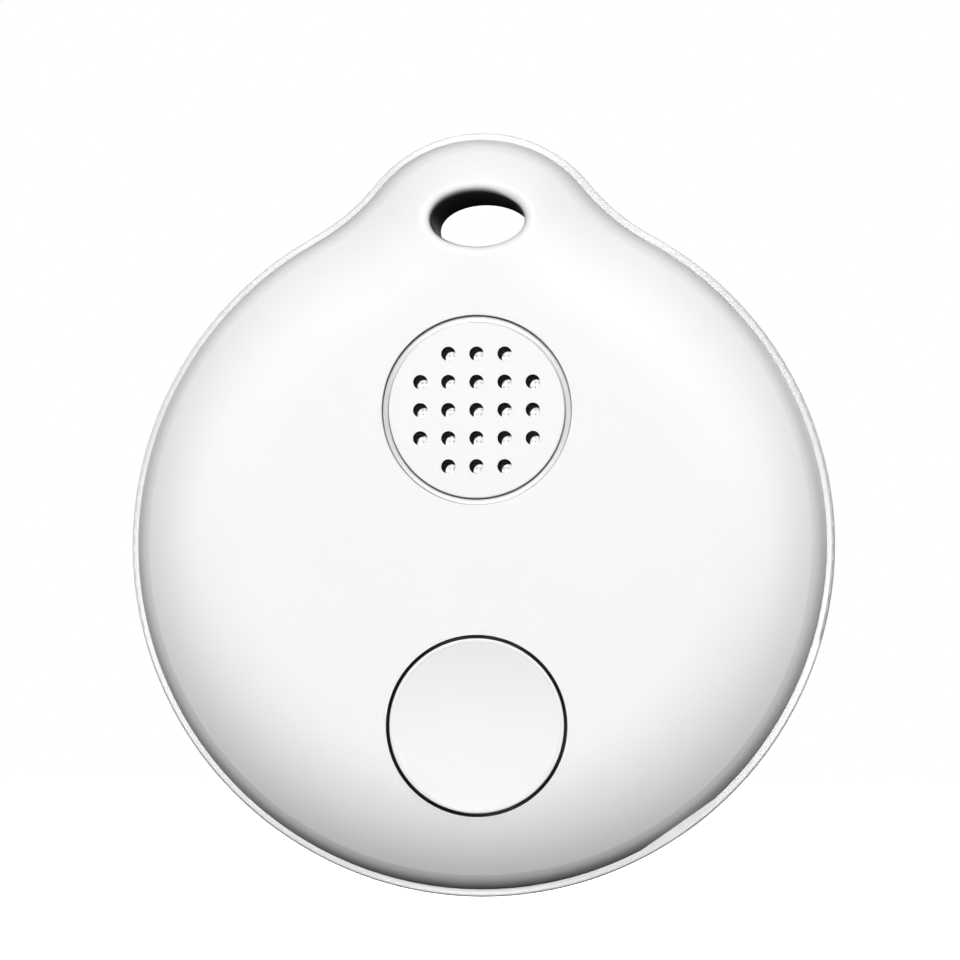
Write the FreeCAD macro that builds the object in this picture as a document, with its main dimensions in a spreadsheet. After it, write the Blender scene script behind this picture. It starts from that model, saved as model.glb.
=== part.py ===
import FreeCAD, Part
import math
import os
import Sketcher

# A key-ring tracker tag: a teardrop case 38 mm wide, 41 mm tall and 8.4 mm thick.
# Every piece is drawn in the tag's own frame, which lies on its back: X to the right, Y up the
# face towards the key-ring hole, and Z out of the front face ("level"), with the origin at the
# centre of the flat back. stand() then stands the piece up, front towards -Y, and puts the
# document's origin on the key-ring hole's axis, halfway through the tag.

DRIVING = {
    # outline: two circles joined by hollow arcs
    "body_radius": 19.0,
    "lobe_radius": 7.45,
    "lobe_up": 14.8,
    "neck_radius": 11.5,
    # case section
    "thickness": 8.4,
    "wall": 1.0,
    "seam_level": 4.5,
    "seam_gap": 0.05,
    "ledge": 0.43,
    "ledge_round": 0.18,
    "dome_width": 6.2,
    "dome_drop": 3.4,
    "back_drop": 3.7,
    "edge_round": 2.0,
    # key-ring hole
    "keyhole_up": 17.2,
    "keyhole_width": 5.0,
    "keyhole_height": 2.93,
    "keyhole_wall": 0.8,
    "keyhole_round": 0.5,
    # lip of the rear cover, and the snaps on it
    "lip_inset": 1.5,
    "lip_width": 0.6,
    "lip_level": 5.1,
    "rim_drop": 0.9,
    "snap_width": 3.0,
    "snap_low": 4.66,
    "snap_high": 4.92,
    "snap_radius": 17.54,
    "snap_groove_radius": 17.68,
    "snap_groove_width": 3.4,
    "snap_end_gap": 0.06,
    # pry flat at the lower right edge
    "pry_angle": -55.0,
    "pry_radius": 18.41,
    "pry_flat_width": 6.0,
    "pry_slot_width": 3.4,
    "pry_slot_height": 0.3,
    "pry_slot_reach": 0.6,
    # grille
    "grille_up": 6.97,
    "grille_seat_radius": 5.03,
    "grille_seat_depth": 0.55,
    "grille_face_radius": 4.72,
    "grille_step": 0.25,
    "grille_edge": 0.1,
    "grille_seat_round": 0.1,
    "sound_opening_radius": 4.3,
    "sound_hole_radius": 0.38,
    "sound_hole_pitch": 1.5,
    "mesh_radius": 4.25,
    "mesh_thickness": 0.1,
    "fit_gap": 0.02,
    # sounder
    "rib_radius": 7.0,
    "rib_width": 1.1,
    "rib_level": 6.75,
    "tape_thickness": 0.1,
    "tape_inset": 0.05,
    "tape_overlap": 0.1,
    "plate_thickness": 0.2,
    "ceramic_radius": 5.0,
    "ceramic_thickness": 0.15,
    # button
    "button_up": -9.8,
    "button_opening_radius": 4.82,
    "button_radius": 4.65,
    "button_flange_radius": 5.4,
    "button_boss_radius": 5.9,
    "button_boss_level": 7.1,
    "button_flange_thickness": 0.33,
    "button_flange_cut": 4.0,
    "button_core_radius": 3.8,
    "button_skin": 0.9,
    "button_pin_radius": 1.0,
    "button_pin_level": 6.62,
    "button_pin_root": 0.1,
    "dish_radius": 21.0,
    "dish_rim": 0.32,
    "dish_tilt": 1.8,
    "dish_sink": 0.06,
    # circuit board
    "board_radius": 16.4,
    "board_level": 5.0,
    "board_thickness": 0.8,
    "board_top": 14.6,
    # screws
    "screw_ring": 13.6,
    "screw_radius": 0.6,
    "screw_pilot_radius": 0.62,
    "screw_tip_level": 6.75,
    "screw_pilot_level": 6.95,
    "screw_hole_radius": 0.75,
    "screw_head_radius": 1.15,
    "screw_head_thickness": 0.7,
    "screw_recess_radius": 0.55,
    "screw_recess_depth": 0.4,
    "screw_recess_width": 0.28,
    "boss_radius": 1.6,
    # coin cell
    "cell_radius": 10.0,
    "cell_level": 1.35,
    "cell_height": 3.2,
    "cell_sheet": 0.25,
    "cell_corner": 0.25,
    "cell_cap_radius": 8.9,
    "cell_cap_corner": 0.3,
    "cell_crimp_radius": 9.35,
    "cell_gasket_gap": 0.02,
    "pad_radius": 7.5,
    "pad_thickness": 0.3,
    # battery tray
    "tray_bore_radius": 10.2,
    "tray_wall": 1.0,
    "tray_level": 2.0,
    "tray_ledge_width": 1.0,
    "tray_ledge_thickness": 0.4,
    "tray_ear_radius": 2.0,
    "tray_ear_thickness": 0.8,
    "tray_arm_overlap": 0.3,
    "tray_slot_overlap": 0.2,
    "cradle_gap": 0.2,
    "cradle_width": 0.8,
    "cradle_level": 1.8,
    # contacts
    "contact_width": 2.4,
    "contact_sheet": 0.2,
    "contact_window": 3.0,
    "contact_foot": 2.4,
    "contact_standoff": 0.2,
    "minus_ring_radius": 5.0,
    "minus_ring_bore": 3.6,
    "minus_sheet": 0.15,
    "minus_finger_width": 1.4,
    "minus_tip_radius": 0.9,
    "minus_tip_level": 4.58,
    "minus_root_overlap": 0.3,
    # tact switch
    "switch_width": 4.0,
    "switch_depth": 3.4,
    "switch_height": 0.5,
    "switch_floor": 0.15,
    "switch_well_radius": 1.5,
    "switch_frame_sheet": 0.1,
    "switch_frame_bore": 1.05,
    "plunger_radius": 0.95,
    "plunger_foot_radius": 1.3,
    "plunger_foot_level": 6.22,
    "plunger_foot_thickness": 0.06,
    "plunger_top_level": 6.6,
    "switch_dome_radius": 1.4,
    "switch_dome_sheet": 0.05,
    "switch_dome_rise": 0.2,
    "switch_dome_waist": 0.55,
    "switch_dome_waist_rise": 0.72,
    # leads
    "lead_radius": 0.16,
    "lead_level": 6.04,
    "joint_radius": 0.55,
    "joint_narrowing": 0.6,
}

SCREW_ANGLES = {"right": 20.0, "left": 160.0, "low": 310.0}
SNAP_ANGLES = {"right": 0.0, "left": 180.0, "low_left": 235.0, "low": 280.0}
CONTACT_ANGLES = {"top": 90.0, "low": 235.0}

X_AXIS = FreeCAD.Vector(1, 0, 0)
Z_AXIS = FreeCAD.Vector(0, 0, 1)

doc = FreeCAD.newDocument("TrackerTag")
sheet = doc.addObject("Spreadsheet::Sheet", "Sizes")
for row, (alias, size) in enumerate(DRIVING.items(), start=1):
    sheet.set(f"A{row}", alias)
    sheet.set(f"B{row}", str(size))
    sheet.setAlias(f"B{row}", alias)
doc.recompute()

parts = []


def size_of(expression):
    return float(sheet.evalExpression(expression))


def stand(made, label):
    """Stand a finished piece up: its level axis turns to -Y, and its Y axis to +Z."""
    made.Label = label
    made.Placement = FreeCAD.Placement(FreeCAD.Vector(0, 0, 0), FreeCAD.Rotation(X_AXIS, 90))
    made.setExpression("Placement.Base.y", "Sizes.thickness / 2")
    made.setExpression("Placement.Base.z", "-Sizes.keyhole_up")
    parts.append(made)
    return made


# --- sketches -------------------------------------------------------------------------------


def sketch_on(body, name, role="XY_Plane", level="0"):
    """A sketch on one of the body's own planes, lifted to a level."""
    sketch = body.newObject("Sketcher::SketchObject", name)
    plane = next(item for item in body.Origin.OriginFeatures if item.Role == role)
    sketch.AttachmentSupport = [(plane, "")]
    sketch.MapMode = "FlatFace"
    if level != "0":
        sketch.setExpression("AttachmentOffset.Base.z", level)
    return sketch


def dimension(sketch, name, expression, kind, *where):
    """A named dimension whose value follows the sheet."""
    index = sketch.addConstraint(Sketcher.Constraint(kind, *where, size_of(expression)))
    sketch.renameConstraint(index, name)
    sketch.setExpression(f"Constraints.{name}", expression)


def place_point(sketch, name, geometry, point, right, up):
    """Hold a point at (right, up) from the sketch's origin. None means on the axis."""
    if right is None:
        sketch.addConstraint(Sketcher.Constraint("PointOnObject", geometry, point, -2))
    else:
        dimension(sketch, f"{name}_right", right, "DistanceX", -1, 1, geometry, point)
    if up is None:
        sketch.addConstraint(Sketcher.Constraint("PointOnObject", geometry, point, -1))
    else:
        dimension(sketch, f"{name}_up", up, "DistanceY", -1, 1, geometry, point)


def add_circle(sketch, name, radius, right=None, up=None):
    centre = FreeCAD.Vector(size_of(right or "0"), size_of(up or "0"), 0)
    index = sketch.addGeometry(Part.Circle(centre, Z_AXIS, size_of(radius)), False)
    dimension(sketch, f"{name}_radius", radius, "Radius", index)
    place_point(sketch, name, index, 3, right, up)


def add_oval(sketch, name, width, height, up):
    """An ellipse on the vertical axis."""
    centre = FreeCAD.Vector(0, size_of(up), 0)
    oval = Part.Ellipse(centre, size_of(width) / 2, size_of(height) / 2)
    index = sketch.addGeometry(oval, False)
    sketch.exposeInternalGeometry(index)
    wide_axis, high_axis = index + 1, index + 2
    sketch.addConstraint(Sketcher.Constraint("Horizontal", wide_axis))
    place_point(sketch, name, index, 3, None, up)
    dimension(sketch, f"{name}_width", width, "Distance", wide_axis)
    dimension(sketch, f"{name}_height", height, "Distance", high_axis)


def add_polygon(sketch, name, corners):
    """A closed outline of straight lines through (right, up) pairs of expressions."""
    points = [FreeCAD.Vector(size_of(right), size_of(up), 0) for right, up in corners]
    count = len(points)
    first = sketch.GeometryCount
    for i in range(count):
        sketch.addGeometry(Part.LineSegment(points[i], points[(i + 1) % count]), False)
    for i in range(count):
        following = first + (i + 1) % count
        sketch.addConstraint(Sketcher.Constraint("Coincident", first + i, 2, following, 1))
        right, up = corners[i]
        dimension(sketch, f"{name}{i}_right", right, "DistanceX", -1, 1, first + i, 1)
        dimension(sketch, f"{name}{i}_up", up, "DistanceY", -1, 1, first + i, 1)


def add_teardrop(sketch, name, inset):
    """The tag's outline, moved in by an inset: body circle, two hollow necks, and the lobe."""
    body = size_of(f"Sizes.body_radius - ({inset})")
    lobe = size_of(f"Sizes.lobe_radius - ({inset})")
    neck = size_of(f"Sizes.neck_radius + ({inset})")
    rise = size_of("Sizes.lobe_up")
    neck_up = ((body + neck) ** 2 - (lobe + neck) ** 2 + rise**2) / (2 * rise)
    neck_right = math.sqrt((body + neck) ** 2 - neck_up**2)
    low = math.atan2(neck_up, neck_right)
    high = math.atan2(neck_up - rise, neck_right)
    half, full = math.pi, 2 * math.pi
    arcs = [
        (0, 0, body, half - low, full + low),
        (neck_right, neck_up, neck, half + high, half + low),
        (0, rise, lobe, high, half - high),
        (-neck_right, neck_up, neck, full - low, full - high),
    ]
    first = sketch.GeometryCount
    for right, up, radius, start, end in arcs:
        circle = Part.Circle(FreeCAD.Vector(right, up, 0), Z_AXIS, radius)
        sketch.addGeometry(Part.ArcOfCircle(circle, start, end), False)
    big, neck_a, top, neck_b = range(first, first + 4)
    sketch.addConstraint(Sketcher.Constraint("Coincident", big, 3, -1, 1))
    place_point(sketch, f"{name}_lobe", top, 3, None, "Sizes.lobe_up")
    for one, one_end, other, other_end in (
        (big, 2, neck_a, 2),
        (neck_a, 1, top, 1),
        (top, 2, neck_b, 2),
        (neck_b, 1, big, 1),
    ):
        sketch.addConstraint(Sketcher.Constraint("Tangent", one, one_end, other, other_end))
    dimension(sketch, f"{name}_body", f"Sizes.body_radius - ({inset})", "Radius", big)
    dimension(sketch, f"{name}_top", f"Sizes.lobe_radius - ({inset})", "Radius", top)
    dimension(sketch, f"{name}_neck_a", f"Sizes.neck_radius + ({inset})", "Radius", neck_a)
    dimension(sketch, f"{name}_neck_b", f"Sizes.neck_radius + ({inset})", "Radius", neck_b)


def add_shoulder(sketch, crown, rim, crown_level, rim_level, bend_level, rounding):
    """The section of a case edge, at the outline's lowest point: up the rim, round a small arc
    and then a large one, and flat into the crown. crown and rim are radii from the centre."""
    crown_r, rim_r, small = size_of(crown), size_of(rim), size_of(rounding)
    top, foot, bend = size_of(crown_level), size_of(rim_level), size_of(bend_level)
    side = 1 if top > foot else -1
    width, drop = rim_r - crown_r, abs(top - bend)
    large = ((width - small) ** 2 + drop**2 - small**2) / (2 * (drop - small))
    small_centre = FreeCAD.Vector(-(rim_r - small), bend, 0)
    large_centre = FreeCAD.Vector(-crown_r, top - side * large, 0)
    across = small_centre - large_centre
    turn = math.atan2(abs(across.y), abs(across.x))
    inner_foot = FreeCAD.Vector(-crown_r, foot, 0)
    outer_foot = FreeCAD.Vector(-rim_r, foot, 0)
    bend_point = FreeCAD.Vector(-rim_r, bend, 0)
    crown_point = FreeCAD.Vector(-crown_r, top, 0)
    if side > 0:
        small_span = (math.pi - turn, math.pi)
        large_span = (math.pi / 2, math.pi - turn)
        small_start, small_end, large_near, large_far = 2, 1, 2, 1
    else:
        small_span = (math.pi, math.pi + turn)
        large_span = (math.pi + turn, 1.5 * math.pi)
        small_start, small_end, large_near, large_far = 1, 2, 1, 2
    sketch.addGeometry(Part.LineSegment(inner_foot, outer_foot), False)
    sketch.addGeometry(Part.LineSegment(outer_foot, bend_point), False)
    sketch.addGeometry(Part.ArcOfCircle(Part.Circle(small_centre, Z_AXIS, small), *small_span), False)
    sketch.addGeometry(Part.ArcOfCircle(Part.Circle(large_centre, Z_AXIS, large), *large_span), False)
    sketch.addGeometry(Part.LineSegment(crown_point, inner_foot), False)
    sketch.addConstraint(Sketcher.Constraint("Horizontal", 0))
    sketch.addConstraint(Sketcher.Constraint("Vertical", 1))
    sketch.addConstraint(Sketcher.Constraint("Vertical", 4))
    sketch.addConstraint(Sketcher.Constraint("Coincident", 4, 2, 0, 1))
    sketch.addConstraint(Sketcher.Constraint("Coincident", 0, 2, 1, 1))
    sketch.addConstraint(Sketcher.Constraint("Tangent", 1, 2, 2, small_start))
    sketch.addConstraint(Sketcher.Constraint("Tangent", 2, small_end, 3, large_near))
    sketch.addConstraint(Sketcher.Constraint("Coincident", 3, large_far, 4, 1))
    sketch.addConstraint(Sketcher.Constraint("Vertical", 3, 3, 4, 1))
    dimension(sketch, "rounding", rounding, "Radius", 2)
    dimension(sketch, "crown", f"-({crown})", "DistanceX", -1, 1, 4, 1)
    dimension(sketch, "rim", f"-({rim})", "DistanceX", -1, 1, 1, 1)
    dimension(sketch, "foot", rim_level, "DistanceY", -1, 1, 0, 1)
    dimension(sketch, "bend", bend_level, "DistanceY", -1, 1, 2, 3)
    dimension(sketch, "top", crown_level, "DistanceY", -1, 1, 4, 1)


# --- features -------------------------------------------------------------------------------


def new_body(name):
    return doc.addObject("PartDesign::Body", name)


def pad(body, sketch, length, downward=False):
    feature = body.newObject("PartDesign::Pad", f"{sketch.Name}_pad")
    feature.Profile = sketch
    feature.Reversed = downward
    feature.setExpression("Length", length)
    doc.recompute()
    return feature


def pocket(body, sketch, depth=None, upward=True):
    """Cut a sketch into the body, through everything unless a depth is given."""
    before = body.Shape.Volume
    feature = body.newObject("PartDesign::Pocket", f"{sketch.Name}_pocket")
    feature.Profile = sketch
    feature.Reversed = upward
    if depth is None:
        feature.Type = "ThroughAll"
    else:
        feature.setExpression("Length", depth)
    doc.recompute()
    if body.Shape.Volume >= before:
        raise RuntimeError(f"{feature.Name} cuts nothing")
    return feature


def revolve(body, sketch):
    """Turn a sketch of the YZ plane about the level axis."""
    feature = body.newObject("PartDesign::Revolution", f"{sketch.Name}_turned")
    feature.Profile = sketch
    feature.ReferenceAxis = (sketch, ["V_Axis"])
    feature.Angle = 360
    doc.recompute()
    return feature


def domed_body(name, crown_inset, wall, crown_level, rim_level, bend_level):
    """A solid half case: a flat crown with the shoulder section led round the teardrop."""
    body = new_body(name)
    core = sketch_on(body, f"{name}_crown", level=rim_level)
    add_teardrop(core, "crown", crown_inset)
    height = f"abs({crown_level} - ({rim_level}))"
    pad(body, core, height, downward=size_of(crown_level) < size_of(rim_level))
    path = sketch_on(body, f"{name}_path", level=rim_level)
    add_teardrop(path, "path", crown_inset)
    section = sketch_on(body, f"{name}_section", role="YZ_Plane")
    rim_inset = f"{crown_inset} - Sizes.dome_width + {wall}"
    add_shoulder(
        section,
        crown=f"Sizes.body_radius - ({crown_inset})",
        rim=f"Sizes.body_radius - ({rim_inset})",
        crown_level=crown_level,
        rim_level=rim_level,
        bend_level=bend_level,
        rounding=f"Sizes.edge_round - {wall}",
    )
    doc.recompute()
    shoulder = body.newObject("PartDesign::AdditivePipe", f"{name}_shoulder")
    shoulder.Profile = section
    shoulder.Spine = (path, [f"Edge{i}" for i in range(1, 5)])
    doc.recompute()
    return body


def round_edges(body, name, radius, wanted):
    """Fillet the edges of the body's last feature for which wanted(edge) is true."""
    last = body.Tip
    edges = [f"Edge{i}" for i, edge in enumerate(last.Shape.Edges, start=1) if wanted(edge)]
    if not edges:
        raise RuntimeError(f"{name} finds no edge")
    feature = body.newObject("PartDesign::Fillet", name)
    feature.Base = (last, edges)
    feature.setExpression("Radius", radius)
    doc.recompute()
    return feature


def on_keyhole(edge):
    """True for an edge that lies all along the wall of the key-ring hole, across it."""
    half_width = size_of("Sizes.keyhole_width / 2")
    half_height = size_of("Sizes.keyhole_height / 2")
    up = size_of("Sizes.keyhole_up")
    points = edge.discretize(9)
    reach = [math.hypot(point.x / half_width, (point.y - up) / half_height) for point in points]
    levels = [point.z for point in points]
    return max(abs(r - 1) for r in reach) < 0.001 and max(levels) - min(levels) < 2


# --- primitives -----------------------------------------------------------------------------


def cylinder(name, radius, low, high, right="0", up="0"):
    made = doc.addObject("Part::Cylinder", name)
    made.setExpression("Radius", radius)
    made.setExpression("Height", f"({high}) - ({low})")
    made.setExpression("Placement.Base.x", right)
    made.setExpression("Placement.Base.y", up)
    made.setExpression("Placement.Base.z", low)
    return made


def box(name, width, height, low, high, right="0", up="0"):
    """A box centred on (right, up)."""
    made = doc.addObject("Part::Box", name)
    made.setExpression("Length", width)
    made.setExpression("Width", height)
    made.setExpression("Height", f"({high}) - ({low})")
    made.setExpression("Placement.Base.x", f"({right}) - ({width}) / 2")
    made.setExpression("Placement.Base.y", f"({up}) - ({height}) / 2")
    made.setExpression("Placement.Base.z", low)
    return made


def radial_box(name, angle, near, far, width, low, high):
    """A box that reaches from one radius to another along a spoke."""
    made = doc.addObject("Part::Box", name)
    made.setExpression("Length", f"({far}) - ({near})")
    made.setExpression("Width", width)
    made.setExpression("Height", f"({high}) - ({low})")
    made.Placement.Rotation = FreeCAD.Rotation(Z_AXIS, size_of(angle))
    made.setExpression("Placement.Base.x", f"({near}) * cos({angle}) + ({width}) / 2 * sin({angle})")
    made.setExpression("Placement.Base.y", f"({near}) * sin({angle}) - ({width}) / 2 * cos({angle})")
    made.setExpression("Placement.Base.z", low)
    return made


def cut(name, base, tools):
    made = doc.addObject("Part::Cut", name)
    made.Base = base
    made.Tool = fuse(f"{name}_tools", tools) if len(tools) > 1 else tools[0]
    doc.recompute()
    if made.Shape.Volume >= base.Shape.Volume:
        raise RuntimeError(f"{name} cuts nothing")
    return made


def fuse(name, pieces):
    made = doc.addObject("Part::MultiFuse", name)
    made.Shapes = pieces
    made.Refine = True
    doc.recompute()
    return made


def group(name, pieces):
    """Separate like solids that share one node."""
    made = doc.addObject("Part::Compound", name)
    made.Links = pieces
    doc.recompute()
    return made


def on_ring(radius, angle):
    """Expressions for a point on a circle about the tag's centre."""
    return f"{radius} * cos({angle})", f"{radius} * sin({angle})"


# --- case -----------------------------------------------------------------------------------

BOARD_FRONT = "(Sizes.board_level + Sizes.board_thickness)"


def make_front_shell():
    outer = domed_body(
        "front_outer",
        crown_inset="Sizes.ledge + Sizes.dome_width",
        wall="0",
        crown_level="Sizes.thickness",
        rim_level="Sizes.seam_level + Sizes.seam_gap",
        bend_level="Sizes.thickness - Sizes.dome_drop",
    )
    openings = sketch_on(outer, "front_openings")
    add_circle(openings, "button", "Sizes.button_opening_radius", up="Sizes.button_up")
    add_circle(openings, "sound", "Sizes.sound_opening_radius", up="Sizes.grille_up")
    add_oval(openings, "keyhole", "Sizes.keyhole_width", "Sizes.keyhole_height", "Sizes.keyhole_up")
    doc.recompute()
    pocket(outer, openings)
    seat = sketch_on(outer, "grille_seat", level="Sizes.thickness - Sizes.grille_seat_depth")
    add_circle(seat, "seat", "Sizes.grille_seat_radius", up="Sizes.grille_up")
    doc.recompute()
    pocket(outer, seat)
    face = size_of("Sizes.thickness")
    seat_reach = size_of("Sizes.grille_seat_radius")
    seat_up = size_of("Sizes.grille_up")
    round_edges(
        outer,
        "grille_seat_edge",
        "Sizes.grille_seat_round",
        lambda edge: all(
            abs(point.z - face) < 1e-6 and abs(math.hypot(point.x, point.y - seat_up) - seat_reach) < 1e-4
            for point in edge.discretize(5)
        ),
    )
    pilots = sketch_on(outer, "front_pilots", level=BOARD_FRONT)
    for name, angle in SCREW_ANGLES.items():
        right, up = on_ring("Sizes.screw_ring", angle)
        add_circle(pilots, name, "Sizes.screw_pilot_radius", right, up)
    doc.recompute()
    pocket(outer, pilots, f"Sizes.screw_pilot_level - {BOARD_FRONT}")
    front = size_of("Sizes.seam_level + 1")
    round_edges(
        outer,
        "keyhole_edge",
        "Sizes.keyhole_round",
        lambda edge: on_keyhole(edge) and edge.CenterOfMass.z > front,
    )

    # the hollow, less the collar, posts and ribs that the shell keeps
    hollow = domed_body(
        "front_hollow",
        crown_inset="Sizes.ledge + Sizes.dome_width",
        wall="Sizes.wall",
        crown_level="Sizes.thickness - Sizes.wall",
        rim_level="Sizes.seam_level + Sizes.seam_gap",
        bend_level="Sizes.thickness - Sizes.dome_drop",
    )
    collar = sketch_on(hollow, "front_collar")
    add_oval(
        collar,
        "collar",
        "Sizes.keyhole_width + 2 * Sizes.keyhole_wall",
        "Sizes.keyhole_height + 2 * Sizes.keyhole_wall",
        "Sizes.keyhole_up",
    )
    doc.recompute()
    pocket(hollow, collar)
    posts = sketch_on(hollow, "front_posts", level=BOARD_FRONT)
    for name, angle in SCREW_ANGLES.items():
        right, up = on_ring("Sizes.screw_ring", angle)
        add_circle(posts, name, "Sizes.boss_radius", right, up)
    doc.recompute()
    pocket(hollow, posts)
    rib = sketch_on(hollow, "sounder_rib", level="Sizes.rib_level")
    add_circle(rib, "outside", "Sizes.rib_radius", up="Sizes.grille_up")
    add_circle(rib, "inside", "Sizes.rib_radius - Sizes.rib_width", up="Sizes.grille_up")
    doc.recompute()
    pocket(hollow, rib)
    boss = sketch_on(hollow, "button_boss", level="Sizes.button_boss_level")
    add_circle(boss, "boss", "Sizes.button_boss_radius", up="Sizes.button_up")
    doc.recompute()
    pocket(hollow, boss)

    pry_flat = radial_box(
        "pry_flat", "Sizes.pry_angle", "Sizes.pry_radius", "Sizes.body_radius + 1", "Sizes.pry_flat_width",
        "Sizes.seam_level", "Sizes.thickness",
    )
    pry_slot = radial_box(
        "pry_slot", "Sizes.pry_angle", "Sizes.pry_radius - Sizes.pry_slot_reach", "Sizes.body_radius + 1",
        "Sizes.pry_slot_width", "Sizes.seam_level",
        "Sizes.seam_level + Sizes.seam_gap + Sizes.pry_slot_height",
    )
    grooves = [
        radial_box(
            f"snap_groove_{name}", str(angle), "Sizes.snap_radius - 1", "Sizes.snap_groove_radius",
            "Sizes.snap_groove_width", "Sizes.snap_low - Sizes.snap_end_gap",
            "Sizes.snap_high + Sizes.snap_end_gap",
        )
        for name, angle in SNAP_ANGLES.items()
    ]
    doc.recompute()
    stand(cut("front_shell_solid", outer, [hollow, pry_flat, pry_slot, *grooves]), "front_shell")


def make_rear_cover():
    outer = domed_body(
        "rear_outer",
        crown_inset="Sizes.dome_width",
        wall="0",
        crown_level="0",
        rim_level="Sizes.seam_level",
        bend_level="Sizes.back_drop",
    )
    keyhole = sketch_on(outer, "rear_keyhole")
    add_oval(keyhole, "keyhole", "Sizes.keyhole_width", "Sizes.keyhole_height", "Sizes.keyhole_up")
    doc.recompute()
    pocket(outer, keyhole)
    seam = size_of("Sizes.seam_level")
    round_edges(
        outer,
        "keyhole_back_edge",
        "Sizes.keyhole_round",
        lambda edge: on_keyhole(edge) and edge.CenterOfMass.z < seam - 1,
    )
    round_edges(
        outer,
        "ledge_edge",
        "Sizes.ledge_round",
        lambda edge: all(abs(point.z - seam) < 1e-6 for point in edge.discretize(4))
        and not on_keyhole(edge),
    )
    hollow = domed_body(
        "rear_hollow",
        crown_inset="Sizes.dome_width",
        wall="Sizes.wall",
        crown_level="Sizes.wall",
        rim_level="Sizes.seam_level - Sizes.rim_drop",
        bend_level="Sizes.back_drop - 0.2",
    )
    neck = sketch_on(hollow, "rear_mouth", level="Sizes.seam_level - Sizes.rim_drop")
    add_teardrop(neck, "mouth", "Sizes.lip_inset + Sizes.lip_width")
    doc.recompute()
    pad(hollow, neck, "Sizes.rim_drop + 1")
    collar = sketch_on(hollow, "rear_collar")
    add_oval(
        collar,
        "collar",
        "Sizes.keyhole_width + 2 * Sizes.keyhole_wall",
        "Sizes.keyhole_height + 2 * Sizes.keyhole_wall",
        "Sizes.keyhole_up",
    )
    doc.recompute()
    pocket(hollow, collar)
    cradle = sketch_on(hollow, "cradle")
    add_circle(cradle, "outside", "Sizes.cell_radius + Sizes.cradle_gap + Sizes.cradle_width")
    add_circle(cradle, "inside", "Sizes.cell_radius + Sizes.cradle_gap")
    doc.recompute()
    pocket(hollow, cradle, "Sizes.cradle_level")
    shell = cut("rear_shell", outer, [hollow])

    lip = new_body("rear_lip")
    ring = sketch_on(lip, "lip_ring", level="Sizes.seam_level - Sizes.rim_drop")
    add_teardrop(ring, "outside", "Sizes.lip_inset")
    add_teardrop(ring, "inside", "Sizes.lip_inset + Sizes.lip_width")
    doc.recompute()
    pad(lip, ring, "Sizes.lip_level - Sizes.seam_level + Sizes.rim_drop")
    snaps = [
        radial_box(
            f"snap_{name}", str(angle), "Sizes.snap_radius - 0.5", "Sizes.snap_radius",
            "Sizes.snap_width", "Sizes.snap_low", "Sizes.snap_high",
        )
        for name, angle in SNAP_ANGLES.items()
    ]
    doc.recompute()
    stand(fuse("rear_cover_solid", [shell, lip, *snaps]), "rear_cover")


# --- grille and sounder -----------------------------------------------------------------------


def make_grille():
    disc = new_body("grille_disc_body")
    foot = sketch_on(disc, "grille_foot", level="Sizes.thickness - Sizes.grille_seat_depth + Sizes.fit_gap")
    add_circle(foot, "foot", "Sizes.grille_seat_radius - Sizes.fit_gap", up="Sizes.grille_up")
    doc.recompute()
    pad(disc, foot, "Sizes.grille_seat_depth - Sizes.grille_step - Sizes.fit_gap")
    face = sketch_on(disc, "grille_face", level="Sizes.thickness - Sizes.grille_step")
    add_circle(face, "face", "Sizes.grille_face_radius", up="Sizes.grille_up")
    doc.recompute()
    pad(disc, face, "Sizes.grille_step")
    top = size_of("Sizes.thickness")
    round_edges(disc, "grille_edge", "Sizes.grille_edge", lambda edge: edge.CenterOfMass.z > top - 1e-6)
    holes = sketch_on(disc, "sound_holes")
    # a square of five by five holes without its corners
    for row in range(-2, 3):
        for column in range(-2, 3):
            if abs(row) + abs(column) < 4:
                right = f"{column} * Sizes.sound_hole_pitch" if column else None
                up = f"Sizes.grille_up + {row} * Sizes.sound_hole_pitch"
                add_circle(holes, f"hole_{row + 2}_{column + 2}", "Sizes.sound_hole_radius", right, up)
    doc.recompute()
    pocket(disc, holes)
    stand(disc, "grille_disc")

    mesh_front = "Sizes.thickness - Sizes.grille_seat_depth"
    mesh = cylinder("mesh", "Sizes.mesh_radius", f"{mesh_front} - Sizes.mesh_thickness", mesh_front,
                    up="Sizes.grille_up")
    stand(group("mesh_node", [mesh]), "dust_mesh")


def make_sounder():
    up = "Sizes.grille_up"
    tape_low = "Sizes.rib_level - Sizes.tape_thickness"
    plate_low = f"{tape_low} - Sizes.plate_thickness"
    ceramic_low = f"{plate_low} - Sizes.ceramic_thickness"
    tape = cut(
        "tape",
        cylinder("tape_disc", "Sizes.rib_radius - Sizes.tape_inset", tape_low, "Sizes.rib_level", up=up),
        [cylinder("tape_bore", "Sizes.rib_radius - Sizes.rib_width + Sizes.tape_overlap", tape_low,
                  "Sizes.rib_level", up=up)],
    )
    stand(tape, "sounder_tape_ring")
    plate = cylinder("plate", "Sizes.rib_radius", plate_low, tape_low, up=up)
    stand(group("plate_node", [plate]), "sounder_plate")
    ceramic = cylinder("ceramic", "Sizes.ceramic_radius", ceramic_low, plate_low, up=up)
    stand(group("ceramic_node", [ceramic]), "sounder_ceramic")


# where each lead starts on the sounder, turns, and ends on the board
LEADS = {
    "lead_wire_red": (("-2.2", "9.2"), ("-5.6", "9.2"), ("-9.4", "4.6"), ("-9.4", "1.4")),
    "lead_wire_black": (("-5.9", "6.2"), ("-7.4", "4.6"), ("-7.4", "3.2"), ("-7.4", "1.4")),
}


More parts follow.
